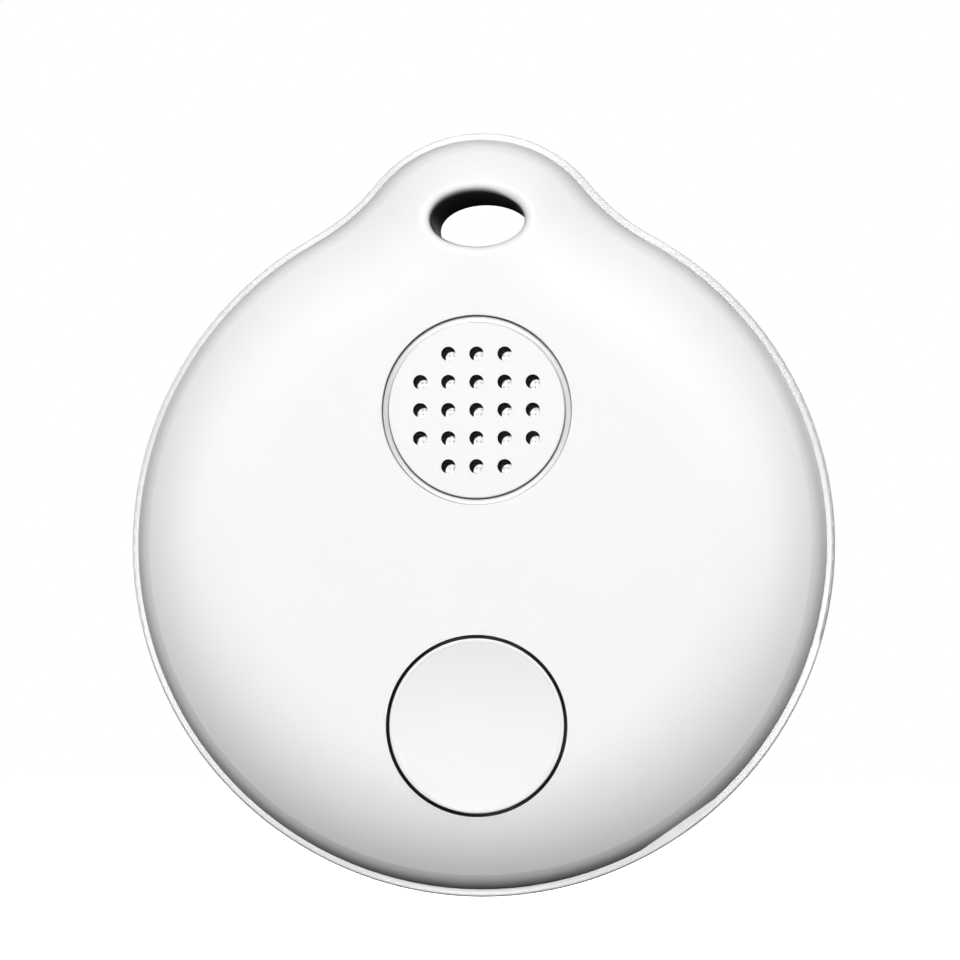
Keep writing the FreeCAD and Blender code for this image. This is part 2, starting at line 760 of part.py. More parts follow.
def make_lead(label, stops):
    """A round wire through its stops, with equal bends, lying at one level."""
    body = new_body(f"{label}_body")
    points = [FreeCAD.Vector(size_of(right), size_of(up), 0) for right, up in stops]
    path = sketch_on(body, f"{label}_path", level="Sizes.lead_level")
    for start, end in zip(points, points[1:]):
        path.addGeometry(Part.LineSegment(start, end), False)
    for i in range(len(points) - 2):
        path.addConstraint(Sketcher.Constraint("Coincident", i, 2, i + 1, 1))
    for i, (right, up) in enumerate(stops[:-1]):
        dimension(path, f"stop{i}_right", right, "DistanceX", -1, 1, i, 1)
        dimension(path, f"stop{i}_up", up, "DistanceY", -1, 1, i, 1)
    last = len(stops) - 2
    dimension(path, "end_right", stops[-1][0], "DistanceX", -1, 1, last, 2)
    dimension(path, "end_up", stops[-1][1], "DistanceY", -1, 1, last, 2)
    doc.recompute()
    section = body.newObject("Sketcher::SketchObject", f"{label}_section")
    section.AttachmentSupport = [(path, "Edge1")]
    section.MapMode = "NormalToEdge"
    add_circle(section, "wire", "Sizes.lead_radius")
    doc.recompute()
    wire = body.newObject("PartDesign::AdditivePipe", f"{label}_wire")
    wire.Profile = section
    wire.Spine = (path, [f"Edge{i}" for i in range(1, len(stops))])
    wire.Transition = "Round corner"
    doc.recompute()
    stand(body, label)


def make_joints():
    """Solder domes: two hang from the sounder, and two stand on the board."""
    plate_back = "Sizes.rib_level - Sizes.tape_thickness - Sizes.plate_thickness"
    ceramic_back = f"{plate_back} - Sizes.ceramic_thickness"
    hung_low = "Sizes.lead_level - Sizes.lead_radius + 0.02"
    stood_high = "Sizes.lead_level + Sizes.lead_radius + 0.05"
    red, black = LEADS["lead_wire_red"], LEADS["lead_wire_black"]
    places = [
        ("red_sounder", red[0], hung_low, ceramic_back),
        ("black_sounder", black[0], hung_low, plate_back),
        ("red_board", red[-1], BOARD_FRONT, stood_high),
        ("black_board", black[-1], BOARD_FRONT, stood_high),
    ]
    domes = []
    for name, (right, up), low, high in places:
        cone = doc.addObject("Part::Cone", f"joint_{name}")
        hangs = name.endswith("sounder")
        wide, narrow = "Sizes.joint_radius", "Sizes.joint_radius * Sizes.joint_narrowing"
        cone.setExpression("Radius1", narrow if hangs else wide)
        cone.setExpression("Radius2", wide if hangs else narrow)
        cone.setExpression("Height", f"({high}) - ({low})")
        cone.setExpression("Placement.Base.x", right)
        cone.setExpression("Placement.Base.y", up)
        cone.setExpression("Placement.Base.z", low)
        domes.append(cone)
    stand(group("solder_joints_node", domes), "solder_joints")


# --- button and its switch ----------------------------------------------------------------------


def make_button_cap():
    cap = new_body("button_cap_body")
    top = sketch_on(cap, "cap_face", level="Sizes.button_boss_level - Sizes.fit_gap")
    add_circle(top, "face", "Sizes.button_radius", up="Sizes.button_up")
    doc.recompute()
    pad(cap, top, "Sizes.thickness - Sizes.button_boss_level + Sizes.fit_gap")
    flange = sketch_on(cap, "cap_flange", level="Sizes.button_boss_level - Sizes.fit_gap")
    add_circle(flange, "flange", "Sizes.button_flange_radius", up="Sizes.button_up")
    doc.recompute()
    pad(cap, flange, "Sizes.button_flange_thickness", downward=True)
    core = sketch_on(cap, "cap_core")
    add_circle(core, "core", "Sizes.button_core_radius", up="Sizes.button_up")
    doc.recompute()
    pocket(cap, core, "Sizes.thickness - Sizes.button_skin")
    pin = sketch_on(cap, "cap_pin", level="Sizes.button_pin_level")
    add_circle(pin, "pin", "Sizes.button_pin_radius", up="Sizes.button_up")
    doc.recompute()
    pad(cap, pin, "Sizes.thickness - Sizes.button_skin - Sizes.button_pin_level + Sizes.button_pin_root")

    # the rim follows the shell's dome, and the face is a shallow dish
    dome = domed_body(
        "button_dome",
        crown_inset="Sizes.ledge + Sizes.dome_width",
        wall="0",
        crown_level="Sizes.thickness",
        rim_level="Sizes.seam_level",
        bend_level="Sizes.thickness - Sizes.dome_drop",
    )
    flush = doc.addObject("Part::Common", "button_flush")
    flush.Base = cap
    flush.Tool = dome
    doc.recompute()
    dish = doc.addObject("Part::Sphere", "button_dish")
    dish.setExpression("Radius", "Sizes.dish_radius")
    sagitta = (
        "Sizes.dish_radius - sqrt(Sizes.dish_radius ^ 2 - (Sizes.button_radius - Sizes.dish_rim) ^ 2)"
    )
    dish.setExpression("Placement.Base.y", "Sizes.button_up - Sizes.dish_radius * sin(Sizes.dish_tilt)")
    dish.setExpression(
        "Placement.Base.z",
        f"Sizes.thickness + Sizes.dish_radius - ({sagitta}) - Sizes.dish_sink",
    )
    trim = box(
        "button_flange_trim", "12", "4", "Sizes.button_pin_level - 1",
        "Sizes.button_boss_level - Sizes.fit_gap",
        up="Sizes.button_up - Sizes.button_flange_cut - 2",
    )
    doc.recompute()
    stand(cut("button_cap_solid", flush, [dish, trim]), "button_cap")


def make_switch():
    up = "Sizes.button_up"
    housing_top = f"({BOARD_FRONT} + Sizes.switch_height)"
    housing = cut(
        "housing",
        box("housing_block", "Sizes.switch_width", "Sizes.switch_depth", BOARD_FRONT, housing_top, up=up),
        [cylinder("housing_well", "Sizes.switch_well_radius", f"{BOARD_FRONT} + Sizes.switch_floor",
                  housing_top, up=up)],
    )
    stand(housing, "switch_housing")
    frame = cut(
        "frame",
        box("frame_sheet", "Sizes.switch_width", "Sizes.switch_depth", housing_top,
            f"{housing_top} + Sizes.switch_frame_sheet", up=up),
        [cylinder("frame_bore", "Sizes.switch_frame_bore", housing_top,
                  f"{housing_top} + Sizes.switch_frame_sheet", up=up)],
    )
    stand(frame, "switch_frame")
    plunger = fuse(
        "plunger",
        [
            cylinder("plunger_foot", "Sizes.plunger_foot_radius", "Sizes.plunger_foot_level",
                     "Sizes.plunger_foot_level + Sizes.plunger_foot_thickness", up=up),
            cylinder("plunger_stem", "Sizes.plunger_radius", "Sizes.plunger_foot_level",
                     "Sizes.plunger_top_level", up=up),
        ],
    )
    stand(plunger, "switch_plunger")
    dome = new_body("switch_dome_body")
    section = sketch_on(dome, "switch_dome_section", role="YZ_Plane")
    floor = f"{BOARD_FRONT} + Sizes.switch_floor"
    waist = f"{floor} + Sizes.switch_dome_rise * Sizes.switch_dome_waist_rise"
    add_polygon(
        section,
        "dome",
        [
            ("0", f"{floor} + Sizes.switch_dome_rise - Sizes.switch_dome_sheet"),
            ("Sizes.switch_dome_radius * Sizes.switch_dome_waist", f"{waist} - Sizes.switch_dome_sheet"),
            ("Sizes.switch_dome_radius - 0.12", floor),
            ("Sizes.switch_dome_radius", floor),
            ("Sizes.switch_dome_radius * (Sizes.switch_dome_waist + 0.03)", waist),
            ("0", f"{floor} + Sizes.switch_dome_rise"),
        ],
    )
    doc.recompute()
    revolve(dome, section)
    lifted = group("switch_dome_node", [dome])
    dome.setExpression("Placement.Base.y", up)
    stand(lifted, "switch_dome")


# --- board --------------------------------------------------------------------------------------


def make_board():
    disc = cylinder("board_disc", "Sizes.board_radius", "Sizes.board_level", BOARD_FRONT)
    top = box("board_top_cut", "40", "8", "Sizes.board_level", BOARD_FRONT, up="Sizes.board_top + 4")
    holes = [
        cylinder(f"board_hole_{name}", "Sizes.screw_hole_radius", "Sizes.board_level", BOARD_FRONT,
                 *on_ring("Sizes.screw_ring", angle))
        for name, angle in SCREW_ANGLES.items()
    ]
    stand(cut("board", disc, [top, *holes]), "circuit_board")


# pieces on the board's front: width, depth, height, and the place of each one
CHIPS = {
    "radio_chip": ("4", "4", "0.8", [("0", "-2.15")]),
    "crystal_can": ("2.5", "2", "0.6", [("4.6", "-2.4")]),
    "chip_antenna": ("3.2", "1.6", "0.5", [("11.4", "9.2")]),
    "boost_inductor": ("3", "3", "1.2", [("-10.6", "-3.4")]),
    "drive_transistor": ("2.9", "1.3", "1", [("-10.6", "-6.4")]),
    "capacitors": (
        "1.6", "0.8", "0.8",
        [("10.6", "-2"), ("10.6", "-3.6"), ("-6.6", "-1.8"), ("-6.6", "-3.2"), ("8", "-6"), ("12.2", "-6")],
    ),
    "resistors": (
        "1", "0.5", "0.35",
        [("7.4", "-1"), ("7.4", "-2"), ("7.4", "-3"), ("-4", "-0.9"), ("-4", "-1.9"), ("-4", "-2.9")],
    ),
}


def make_chips():
    for label, (width, depth, height, places) in CHIPS.items():
        blocks = [
            box(f"{label}_{i}", width, depth, BOARD_FRONT, f"{BOARD_FRONT} + {height}", right, up)
            for i, (right, up) in enumerate(places)
        ]
        stand(group(f"{label}_node", blocks), label)


def make_contacts():
    arms = []
    sheet_t = "Sizes.contact_sheet"
    foot = "Sizes.board_level"
    leg = "Sizes.tray_bore_radius + Sizes.tray_wall + Sizes.contact_standoff"
    for name, angle in CONTACT_ANGLES.items():
        arm = new_body(f"contact_{name}")
        section = sketch_on(arm, f"contact_{name}_section", role="XZ_Plane")
        add_polygon(
            section,
            "strip",
            [
                (f"{leg} + Sizes.contact_foot", foot),
                (leg, foot),
                (leg, "2.75"),
                ("Sizes.cell_radius + 0.2", "3.4"),
                ("Sizes.cell_radius + 0.03", "3.22"),
                (f"{leg} + 0.05", "2.4"),
                (f"{leg} + {sheet_t}", "2.5"),
                (f"{leg} + {sheet_t}", f"{foot} - {sheet_t}"),
                (f"{leg} + Sizes.contact_foot", f"{foot} - {sheet_t}"),
            ],
        )
        doc.recompute()
        strip = pad(arm, section, "Sizes.contact_width")
        strip.Midplane = True
        arm.Placement.Rotation = FreeCAD.Rotation(Z_AXIS, angle)
        doc.recompute()
        arms.append(arm)
    stand(group("positive_contacts_node", arms), "positive_contacts")

    minus = new_body("negative_contact_body")
    ring = sketch_on(minus, "minus_ring", level="Sizes.board_level")
    add_circle(ring, "outside", "Sizes.minus_ring_radius")
    add_circle(ring, "inside", "Sizes.minus_ring_bore")
    doc.recompute()
    pad(minus, ring, "Sizes.minus_sheet", downward=True)
    finger = sketch_on(minus, "minus_finger", role="XZ_Plane")
    root = "Sizes.minus_ring_bore + Sizes.minus_root_overlap"
    add_polygon(
        finger,
        "finger",
        [
            (root, "Sizes.board_level - 0.01"),
            (root, "Sizes.board_level - Sizes.minus_sheet"),
            ("Sizes.minus_tip_radius + 0.6", "Sizes.minus_tip_level"),
            ("Sizes.minus_tip_radius", "Sizes.minus_tip_level + 0.06"),
            ("Sizes.minus_tip_radius", "Sizes.minus_tip_level + 0.2"),
            ("Sizes.minus_tip_radius + 0.7", "Sizes.minus_tip_level + Sizes.minus_sheet"),
        ],
    )
    doc.recompute()
    strip = pad(minus, finger, "Sizes.minus_finger_width")
    strip.Midplane = True
    doc.recompute()
    fingers = minus.newObject("PartDesign::PolarPattern", "minus_fingers")
    fingers.Originals = [strip]
    fingers.Axis = (ring, ["N_Axis"])
    fingers.Angle = 360
    fingers.Occurrences = 3
    minus.Tip = fingers
    doc.recompute()
    stand(minus, "negative_contact")


# --- battery tray, cell and screws ------------------------------------------------------------


def make_tray():
    ledge_low = "Sizes.board_level - Sizes.tray_ledge_thickness"
    ear_low = "Sizes.board_level - Sizes.tray_ear_thickness"
    outside = "Sizes.tray_bore_radius + Sizes.tray_wall"
    wall = cylinder("tray_wall_solid", outside, "Sizes.tray_level", "Sizes.board_level")
    ears, holes = [], []
    for name, angle in SCREW_ANGLES.items():
        place = on_ring("Sizes.screw_ring", angle)
        ears.append(
            cylinder(f"tray_ear_{name}", "Sizes.tray_ear_radius", ear_low, "Sizes.board_level", *place)
        )
        ears.append(
            radial_box(
                f"tray_arm_{name}", str(angle), "Sizes.tray_bore_radius + Sizes.tray_arm_overlap",
                "Sizes.screw_ring", "2 * Sizes.tray_ear_radius", ear_low, "Sizes.board_level",
            )
        )
        holes.append(
            cylinder(f"tray_hole_{name}", "Sizes.screw_hole_radius", ear_low, "Sizes.board_level", *place)
        )
    solid = fuse("tray_solid", [wall, *ears])
    bore = cylinder("tray_bore", "Sizes.tray_bore_radius", "Sizes.tray_level", ledge_low)
    window = cylinder("tray_window", "Sizes.tray_bore_radius - Sizes.tray_ledge_width",
                      "Sizes.tray_level", "Sizes.board_level")
    slots = [
        radial_box(
            f"tray_slot_{name}", str(angle), "Sizes.tray_bore_radius - Sizes.tray_slot_overlap",
            f"{outside} + 1", "Sizes.contact_window", "Sizes.tray_level", "Sizes.board_level",
        )
        for name, angle in CONTACT_ANGLES.items()
    ]
    doc.recompute()
    stand(cut("tray", solid, [bore, window, *holes, *slots]), "battery_tray")


def make_screws():
    screws = []
    ear_low = "Sizes.board_level - Sizes.tray_ear_thickness"
    head_low = f"({ear_low} - Sizes.screw_head_thickness)"
    for name, angle in SCREW_ANGLES.items():
        place = on_ring("Sizes.screw_ring", angle)
        head = cylinder(f"screw_head_{name}", "Sizes.screw_head_radius", head_low, ear_low, *place)
        shank = cylinder(
            f"screw_shank_{name}", "Sizes.screw_radius", ear_low, "Sizes.screw_tip_level", *place
        )
        recess = "2 * Sizes.screw_recess_radius"
        depth = f"{head_low} + Sizes.screw_recess_depth"
        right, up = place
        across = "Sizes.screw_recess_width"
        bar_a = box(f"recess_a_{name}", recess, across, head_low, depth, right, up)
        bar_b = box(f"recess_b_{name}", across, recess, head_low, depth, right, up)
        whole = fuse(f"screw_blank_{name}", [head, shank])
        screws.append(cut(f"screw_{name}", whole, [bar_a, bar_b]))
    stand(group("tray_screws_node", screws), "tray_screws")


def make_cell():
    top = "(Sizes.cell_level + Sizes.cell_height)"
    inside = "Sizes.cell_radius - Sizes.cell_sheet"
    can = new_body("cell_can_body")
    section = sketch_on(can, "cell_can_section", role="YZ_Plane")
    add_polygon(
        section,
        "can",
        [
            ("0", "Sizes.cell_level"),
            ("Sizes.cell_radius - Sizes.cell_corner", "Sizes.cell_level"),
            ("Sizes.cell_radius", "Sizes.cell_level + Sizes.cell_corner"),
            ("Sizes.cell_radius", f"{top} - 0.45"),
            ("Sizes.cell_crimp_radius + 0.2", f"{top} - 0.15"),
            ("Sizes.cell_crimp_radius", f"{top} - 0.2"),
            ("Sizes.cell_crimp_radius", f"{top} - 0.4"),
            (inside, f"{top} - 0.6"),
            (inside, "Sizes.cell_level + Sizes.cell_sheet"),
            ("0", "Sizes.cell_level + Sizes.cell_sheet"),
        ],
    )
    doc.recompute()
    revolve(can, section)
    stand(can, "coin_cell_can")

    gap = "Sizes.cell_gasket_gap"
    cap = new_body("cell_cap_body")
    section = sketch_on(cap, "cell_cap_section", role="YZ_Plane")
    add_polygon(
        section,
        "cap",
        [
            ("0", f"Sizes.cell_level + Sizes.cell_sheet + {gap}"),
            ("Sizes.cell_cap_radius", f"Sizes.cell_level + Sizes.cell_sheet + {gap}"),
            ("Sizes.cell_cap_radius", f"{top} - Sizes.cell_cap_corner"),
            ("Sizes.cell_cap_radius - Sizes.cell_cap_corner", top),
            ("0", top),
        ],
    )
    doc.recompute()
    revolve(cap, section)
    stand(cap, "coin_cell_cap")

    gasket = new_body("cell_gasket_body")
    section = sketch_on(gasket, "cell_gasket_section", role="YZ_Plane")
    add_polygon(
        section,
        "gasket",
        [
            (f"Sizes.cell_cap_radius + {gap}", f"Sizes.cell_level + Sizes.cell_sheet + {gap}"),
            (f"{inside} - {gap}", f"Sizes.cell_level + Sizes.cell_sheet + {gap}"),
            (f"{inside} - {gap}", f"{top} - 0.65"),
            (f"Sizes.cell_crimp_radius - {gap}", f"{top} - 0.43"),
            (f"Sizes.cell_crimp_radius - {gap}", f"{top} - 0.12"),
            (f"Sizes.cell_cap_radius + {gap}", f"{top} - 0.12"),
        ],
    )
    doc.recompute()
    revolve(gasket, section)
    stand(gasket, "coin_cell_gasket")

    foam = cylinder("cell_pad_disc", "Sizes.pad_radius", "Sizes.wall", "Sizes.wall + Sizes.pad_thickness")
    stand(group("cell_pad_node", [foam]), "cell_pad")


# --- build, check and write -----------------------------------------------------------------------

make_front_shell()
make_rear_cover()
make_grille()
make_sounder()
for lead, stops in LEADS.items():
    make_lead(lead, stops)
make_joints()
make_button_cap()
make_switch()
make_board()
make_chips()
make_contacts()
make_tray()
make_screws()
make_cell()
doc.recompute()

for item in doc.Objects:
    if "Invalid" in item.State or "Error" in item.State:
        raise RuntimeError(f"{item.Name} failed: {item.State}")
for part in parts:
    if part.Shape.isNull() or not part.Shape.isValid() or not part.Shape.Solids:
        raise RuntimeError(f"{part.Label} has no valid solid")

os.makedirs("parts", exist_ok=True)
for part in parts:
    part.Shape.exportStep(f"parts/{part.Label}.step")
    print(part.Label, len(part.Shape.Solids), round(part.Shape.Volume, 3))
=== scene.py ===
import bmesh
import bpy
import math
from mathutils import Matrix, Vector, noise


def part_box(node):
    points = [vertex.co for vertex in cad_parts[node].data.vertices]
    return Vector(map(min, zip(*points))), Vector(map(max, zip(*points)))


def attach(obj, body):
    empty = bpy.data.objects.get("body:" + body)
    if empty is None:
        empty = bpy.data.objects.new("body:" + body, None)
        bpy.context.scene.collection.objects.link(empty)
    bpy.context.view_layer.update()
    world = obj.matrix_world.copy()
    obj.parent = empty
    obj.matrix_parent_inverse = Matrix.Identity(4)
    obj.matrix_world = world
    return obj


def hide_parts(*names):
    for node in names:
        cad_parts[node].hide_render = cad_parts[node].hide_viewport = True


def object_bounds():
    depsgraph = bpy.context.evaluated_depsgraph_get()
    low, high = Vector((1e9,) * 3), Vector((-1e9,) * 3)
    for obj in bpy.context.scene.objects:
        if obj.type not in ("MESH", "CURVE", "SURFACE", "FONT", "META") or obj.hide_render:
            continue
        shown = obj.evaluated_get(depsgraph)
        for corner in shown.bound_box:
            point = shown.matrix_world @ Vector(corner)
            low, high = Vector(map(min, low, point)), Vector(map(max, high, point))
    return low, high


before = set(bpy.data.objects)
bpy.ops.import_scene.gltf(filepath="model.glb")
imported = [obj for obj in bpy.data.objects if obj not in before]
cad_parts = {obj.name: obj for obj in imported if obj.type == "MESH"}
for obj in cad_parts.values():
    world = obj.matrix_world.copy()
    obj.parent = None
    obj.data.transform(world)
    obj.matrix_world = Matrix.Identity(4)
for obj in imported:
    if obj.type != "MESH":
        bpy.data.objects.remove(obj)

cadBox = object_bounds()
mm = 0.001


def sceneColour(hexText):
    # an sRGB hex value as the linear colour that a socket takes
    parts = [int(hexText[i:i + 2], 16) / 255 for i in (1, 3, 5)]
    return tuple(p / 12.92 if p <= 0.04045 else ((p + 0.055) / 1.055) ** 2.4 for p in parts) + (1.0,)


def addNode(tree, kind, settings=None, values=None, links=None):
    # one node, with its settings, its socket values and what feeds each socket
    node = tree.nodes.new(kind)
    for name, value in (settings or {}).items():
        setattr(node, name, value)
    for key, value in (values or {}).items():
        node.inputs[key].default_value = value
    for key, source in (links or {}).items():
        tree.links.new(source, node.inputs[key])
    return node


def bodyCentre(name):
    low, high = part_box(name)
    return (low + high) / 2


print("camera and studio")

cameraPlace = {
    "position": (17.925, -250.0, -25.6),   # mm, a little to the right of the tag and below its ring hole
    "target": (-0.095, -0.3, -13.77),
    "frameWidth": 51.8,                    # mm across the view at the tag
    "gamma": 0.74,                         # a crisp catalogue print: the shaded rims fall off faster
}

cameraData = bpy.data.cameras.new("camera")
cameraObject = bpy.data.objects.new("camera", cameraData)
bpy.context.collection.objects.link(cameraObject)
cameraFrom = Vector(cameraPlace["position"]) * mm
cameraTo = Vector(cameraPlace["target"]) * mm
cameraObject.location = cameraFrom
cameraObject.rotation_euler = (cameraTo - cameraFrom).to_track_quat("-Z", "Y").to_euler()
cameraData.lens = cameraData.sensor_width * (cameraTo - cameraFrom).length / (cameraPlace["frameWidth"] * mm)
cameraData.clip_start = 0.01
cameraData.clip_end = 20.0
bpy.context.scene.camera = cameraObject
bpy.context.scene.view_settings.view_transform = "Standard"
bpy.context.scene.view_settings.gamma = cameraPlace["gamma"]

lampRig = {"aim": (0.0, 0.0, -16.0), "distance": 0.6, "size": 0.25}   # aim in mm, the rest in metres
studioLights = {
    # azimuth from the front towards +X and elevation, in degrees, and power in watts
    "frontRight": (40, 4, 1.46),
    "frontLeft": (-40, 4, 1.48),
    "front": (0, 4, 0.55),
    "above": (4, 32, 1.13),
    "backLeft": (210, 12, 0.3),
    "behind": (180, 22, 0.8),
    "backRight": (150, 12, 0.4),
}
for name, (azimuthDegrees, elevationDegrees, power) in studioLights.items():
    lamp = bpy.data.lights.new(name, "AREA")
    lamp.shape = "DISK"
    lamp.size = lampRig["size"]
    lamp.energy = power
    lampObject = bpy.data.objects.new(name, lamp)
    bpy.context.collection.objects.link(lampObject)
    azimuth, elevation = math.radians(azimuthDegrees), math.radians(elevationDegrees)
    away = Vector((math.sin(azimuth) * math.cos(elevation), -math.cos(azimuth) * math.cos(elevation),
                   math.sin(elevation)))
    lampObject.location = Vector(lampRig["aim"]) * mm + away * lampRig["distance"]
    lampObject.rotation_euler = (-away).to_track_quat("-Z", "Y").to_euler()

studio = {
    "floorDrop": 14.0,       # mm below the tag, which hangs by its ring hole
    "floorSize": 2.4,        # metres
    "ambient": 0.2,          # what the room sends to the tag
    "paper": "#F4F4F4",
    "flag": "#202020",       # what the paper sends back to the tag, as with black flags beside it
    "glowNear": 0.72,        # by the tag's foot, which stands for its soft shadow
    "glowFar": 1.02,
    "shadowCore": 0.06,      # metres from the tag where the paper starts to lighten
    "shadowReach": 0.13,     # and where it is plain white
}


def makeStudio(spec):
    # the room and the paper look white to the camera, and send the tag only a little light
    world = bpy.data.worlds.new("studio")
    world.use_nodes = True
    bpy.context.scene.world = world
    tree = world.node_tree
    tree.nodes.clear()
    seen = addNode(tree, "ShaderNodeLightPath")
    white = addNode(tree, "ShaderNodeBackground", values={"Color": (1, 1, 1, 1), "Strength": 1.0})
    dark = addNode(tree, "ShaderNodeBackground", values={"Color": (1, 1, 1, 1), "Strength": spec["ambient"]})
    pick = addNode(tree, "ShaderNodeMixShader", links={0: seen.outputs["Is Camera Ray"], 1: dark.outputs[0],
                                                       2: white.outputs[0]})
    addNode(tree, "ShaderNodeOutputWorld", links={"Surface": pick.outputs[0]})

    half = spec["floorSize"] / 2
    level = cadBox[0][2] - spec["floorDrop"] * mm
    mesh = bpy.data.meshes.new("floor")
    mesh.from_pydata([(-half, -half, level), (half, -half, level), (half, half, level), (-half, half, level)],
                     [], [(0, 1, 2, 3)])
    floor = bpy.data.objects.new("floor", mesh)
    bpy.context.collection.objects.link(floor)
    paper = bpy.data.materials.new("seamless paper")
    paper.use_nodes = True
    tree = paper.node_tree
    tree.nodes.clear()
    seen = addNode(tree, "ShaderNodeLightPath")
    matt = addNode(tree, "ShaderNodeBsdfDiffuse", values={"Color": sceneColour(spec["paper"])})
    ground = addNode(tree, "ShaderNodeTexCoord")
    reach = addNode(tree, "ShaderNodeVectorMath", {"operation": "LENGTH"},
                    links={0: ground.outputs["Object"]})
    lift = addNode(tree, "ShaderNodeMapRange", {"interpolation_type": "SMOOTHSTEP"}, {
        "From Min": spec["shadowCore"], "From Max": spec["shadowReach"], "To Min": spec["glowNear"],
        "To Max": spec["glowFar"]}, {"Value": reach.outputs["Value"]})
    glow = addNode(tree, "ShaderNodeEmission", values={"Color": (1, 1, 1, 1)},
                   links={"Strength": lift.outputs[0]})
    shown = addNode(tree, "ShaderNodeAddShader", links={0: matt.outputs[0], 1: glow.outputs[0]})
    flag = addNode(tree, "ShaderNodeBsdfDiffuse", values={"Color": sceneColour(spec["flag"])})
    pick = addNode(tree, "ShaderNodeMixShader", links={0: seen.outputs["Is Camera Ray"], 1: flag.outputs[0],
                                                       2: shown.outputs[0]})
    addNode(tree, "ShaderNodeOutputMaterial", links={"Surface": pick.outputs[0]})
    mesh.materials.append(paper)


makeStudio(studio)

print("materials")


def newSurface(name, colour, roughness, metallic=0.0, ior=1.5, coat=0.0):
    # a material with its shader and Object coordinates in place; each finish adds its own pattern
    material = bpy.data.materials.new(name)
    material.use_nodes = True
    tree = material.node_tree
    tree.nodes.clear()
    place = addNode(tree, "ShaderNodeTexCoord")
    shader = addNode(tree, "ShaderNodeBsdfPrincipled", values={
        "Base Color": sceneColour(colour), "Roughness": roughness, "Metallic": metallic, "IOR": ior,
        "Coat Weight": coat})
    addNode(tree, "ShaderNodeOutputMaterial", links={"Surface": shader.outputs[0]})
    return material, tree, shader, place.outputs["Object"]


def twoTones(tree, first, second, share):
    # the colour between two tones, by a share from 0 to 1; a tone is a hex value or a socket
    mix = addNode(tree, "ShaderNodeMix", {"data_type": "RGBA"}, links={0: share})
    for place, tone in ((6, first), (7, second)):
        if isinstance(tone, str):
            mix.inputs[place].default_value = sceneColour(tone)
        else:
            tree.links.new(tone, mix.inputs[place])
    return mix.outputs[2]


def drawBump(tree, shader, height, depth):
    bump = addNode(tree, "ShaderNodeBump", values={"Strength": 1.0, "Distance": depth * mm},
                   links={"Height": height})
    tree.links.new(bump.outputs[0], shader.inputs["Normal"])


def drawGloss(tree, shader, share, low, high):
    gloss = addNode(tree, "ShaderNodeMapRange", values={"To Min": low, "To Max": high},
                    links={"Value": share})
    tree.links.new(gloss.outputs[0], shader.inputs["Roughness"])


def calculate(tree, operation, first, second=None, third=None):
    # one Math node; each term is a number or a socket
    node = addNode(tree, "ShaderNodeMath", {"operation": operation})
    for place, term in enumerate((first, second, third)):
        if isinstance(term, (int, float)):
            node.inputs[place].default_value = term
        elif term is not None:
            tree.links.new(term, node.inputs[place])
    return node.outputs[0]


def product(tree, first, *others):
    for term in others:
        first = calculate(tree, "MULTIPLY", first, term)
    return first


def ramp(tree, value, start, end):
    # 0 at start and 1 at end, with soft ends
    node = addNode(tree, "ShaderNodeMapRange", {"interpolation_type": "SMOOTHSTEP"},
                   {"From Min": start, "From Max": end}, {"Value": value})
    return node.outputs[0]


def rampAcross(tree, value, span):
    # the same with its ends in mm
    return ramp(tree, value, span[0] * mm, span[1] * mm)


absPlastic = {
    "white": "#F6F6F6",
    "drift": "#F4F4F3",       # the tone that the melt drifts to over a few millimetres
    "driftSize": 9.0,         # mm
    "grain": 0.10,            # mm, spark-eroded tool grain, drawn a little coarse so that it shows
    "grainDepth": 0.0007,     # mm
    "roughness": 0.50,
}


def mouldedAbs(name, spec, roughness=None):
    # ABS, injection moulded in a satin tool: a fine grain breaks up the gloss, and the white
    # drifts very slightly where the melt cooled
    roughness = roughness or spec["roughness"]
    material, tree, shader, place = newSurface(name, spec["white"], roughness, ior=1.53)
    grain = addNode(tree, "ShaderNodeTexNoise", values={
        "Scale": 1 / (spec["grain"] * mm), "Detail": 3.0, "Roughness": 0.6}, links={"Vector": place})
    drift = addNode(tree, "ShaderNodeTexNoise", values={
        "Scale": 1 / (spec["driftSize"] * mm), "Detail": 2.0}, links={"Vector": place})
    tone = twoTones(tree, spec["white"], spec["drift"], drift.outputs["Fac"])
    tree.links.new(tone, shader.inputs["Base Color"])
    drawGloss(tree, shader, grain.outputs["Fac"], roughness - 0.04, roughness + 0.05)
    drawBump(tree, shader, grain.outputs["Fac"], spec["grainDepth"])
    return material, tree, shader, place, tone


def lengthOf(tree, a, b):
    return calculate(tree, "SQRT", calculate(tree, "ADD", product(tree, a, a), product(tree, b, b)))


def towards(tree, x, z, heading, distance):
    # 1 on the side of the heading, -1 opposite it
    along = calculate(tree, "ADD", product(tree, x, heading[0]), product(tree, z, heading[1]))
    return calculate(tree, "DIVIDE", along, distance)


def fromAxis(tree, axes, name):
    # offsets across the face from a piece's centre, and the distance
    centre = bodyCentre(name)
    x = calculate(tree, "SUBTRACT", axes["X"], centre.x)
    z = calculate(tree, "SUBTRACT", axes["Z"], centre.z)
    return x, z, lengthOf(tree, x, z)


ringHole = {
    # mm; the ring hole's size, and the painted shade inside the top of it
    "halfWidth": 2.5,         # mm
    "halfHeight": 1.465,
    "reach": 0.48,            # mm that the shade spreads over the hole's rounded edge at its top
    "reachBeside": 0.16,      # mm that it spreads at the hole's ends
    "topSide": (0.1, 0.95),   # where it goes from one to the other, as a share towards the heading
    "falloff": 1.6,
    "tone": "#343436",
    "heading": (-0.34, 0.94),   # the side of the hole that is dark, across and up
    "darkSide": (-0.6, 0.1),  # where the hole goes from white to dark, as a share towards the heading
    "dulled": 0.8,            # share of the gloss that the shade takes away
}


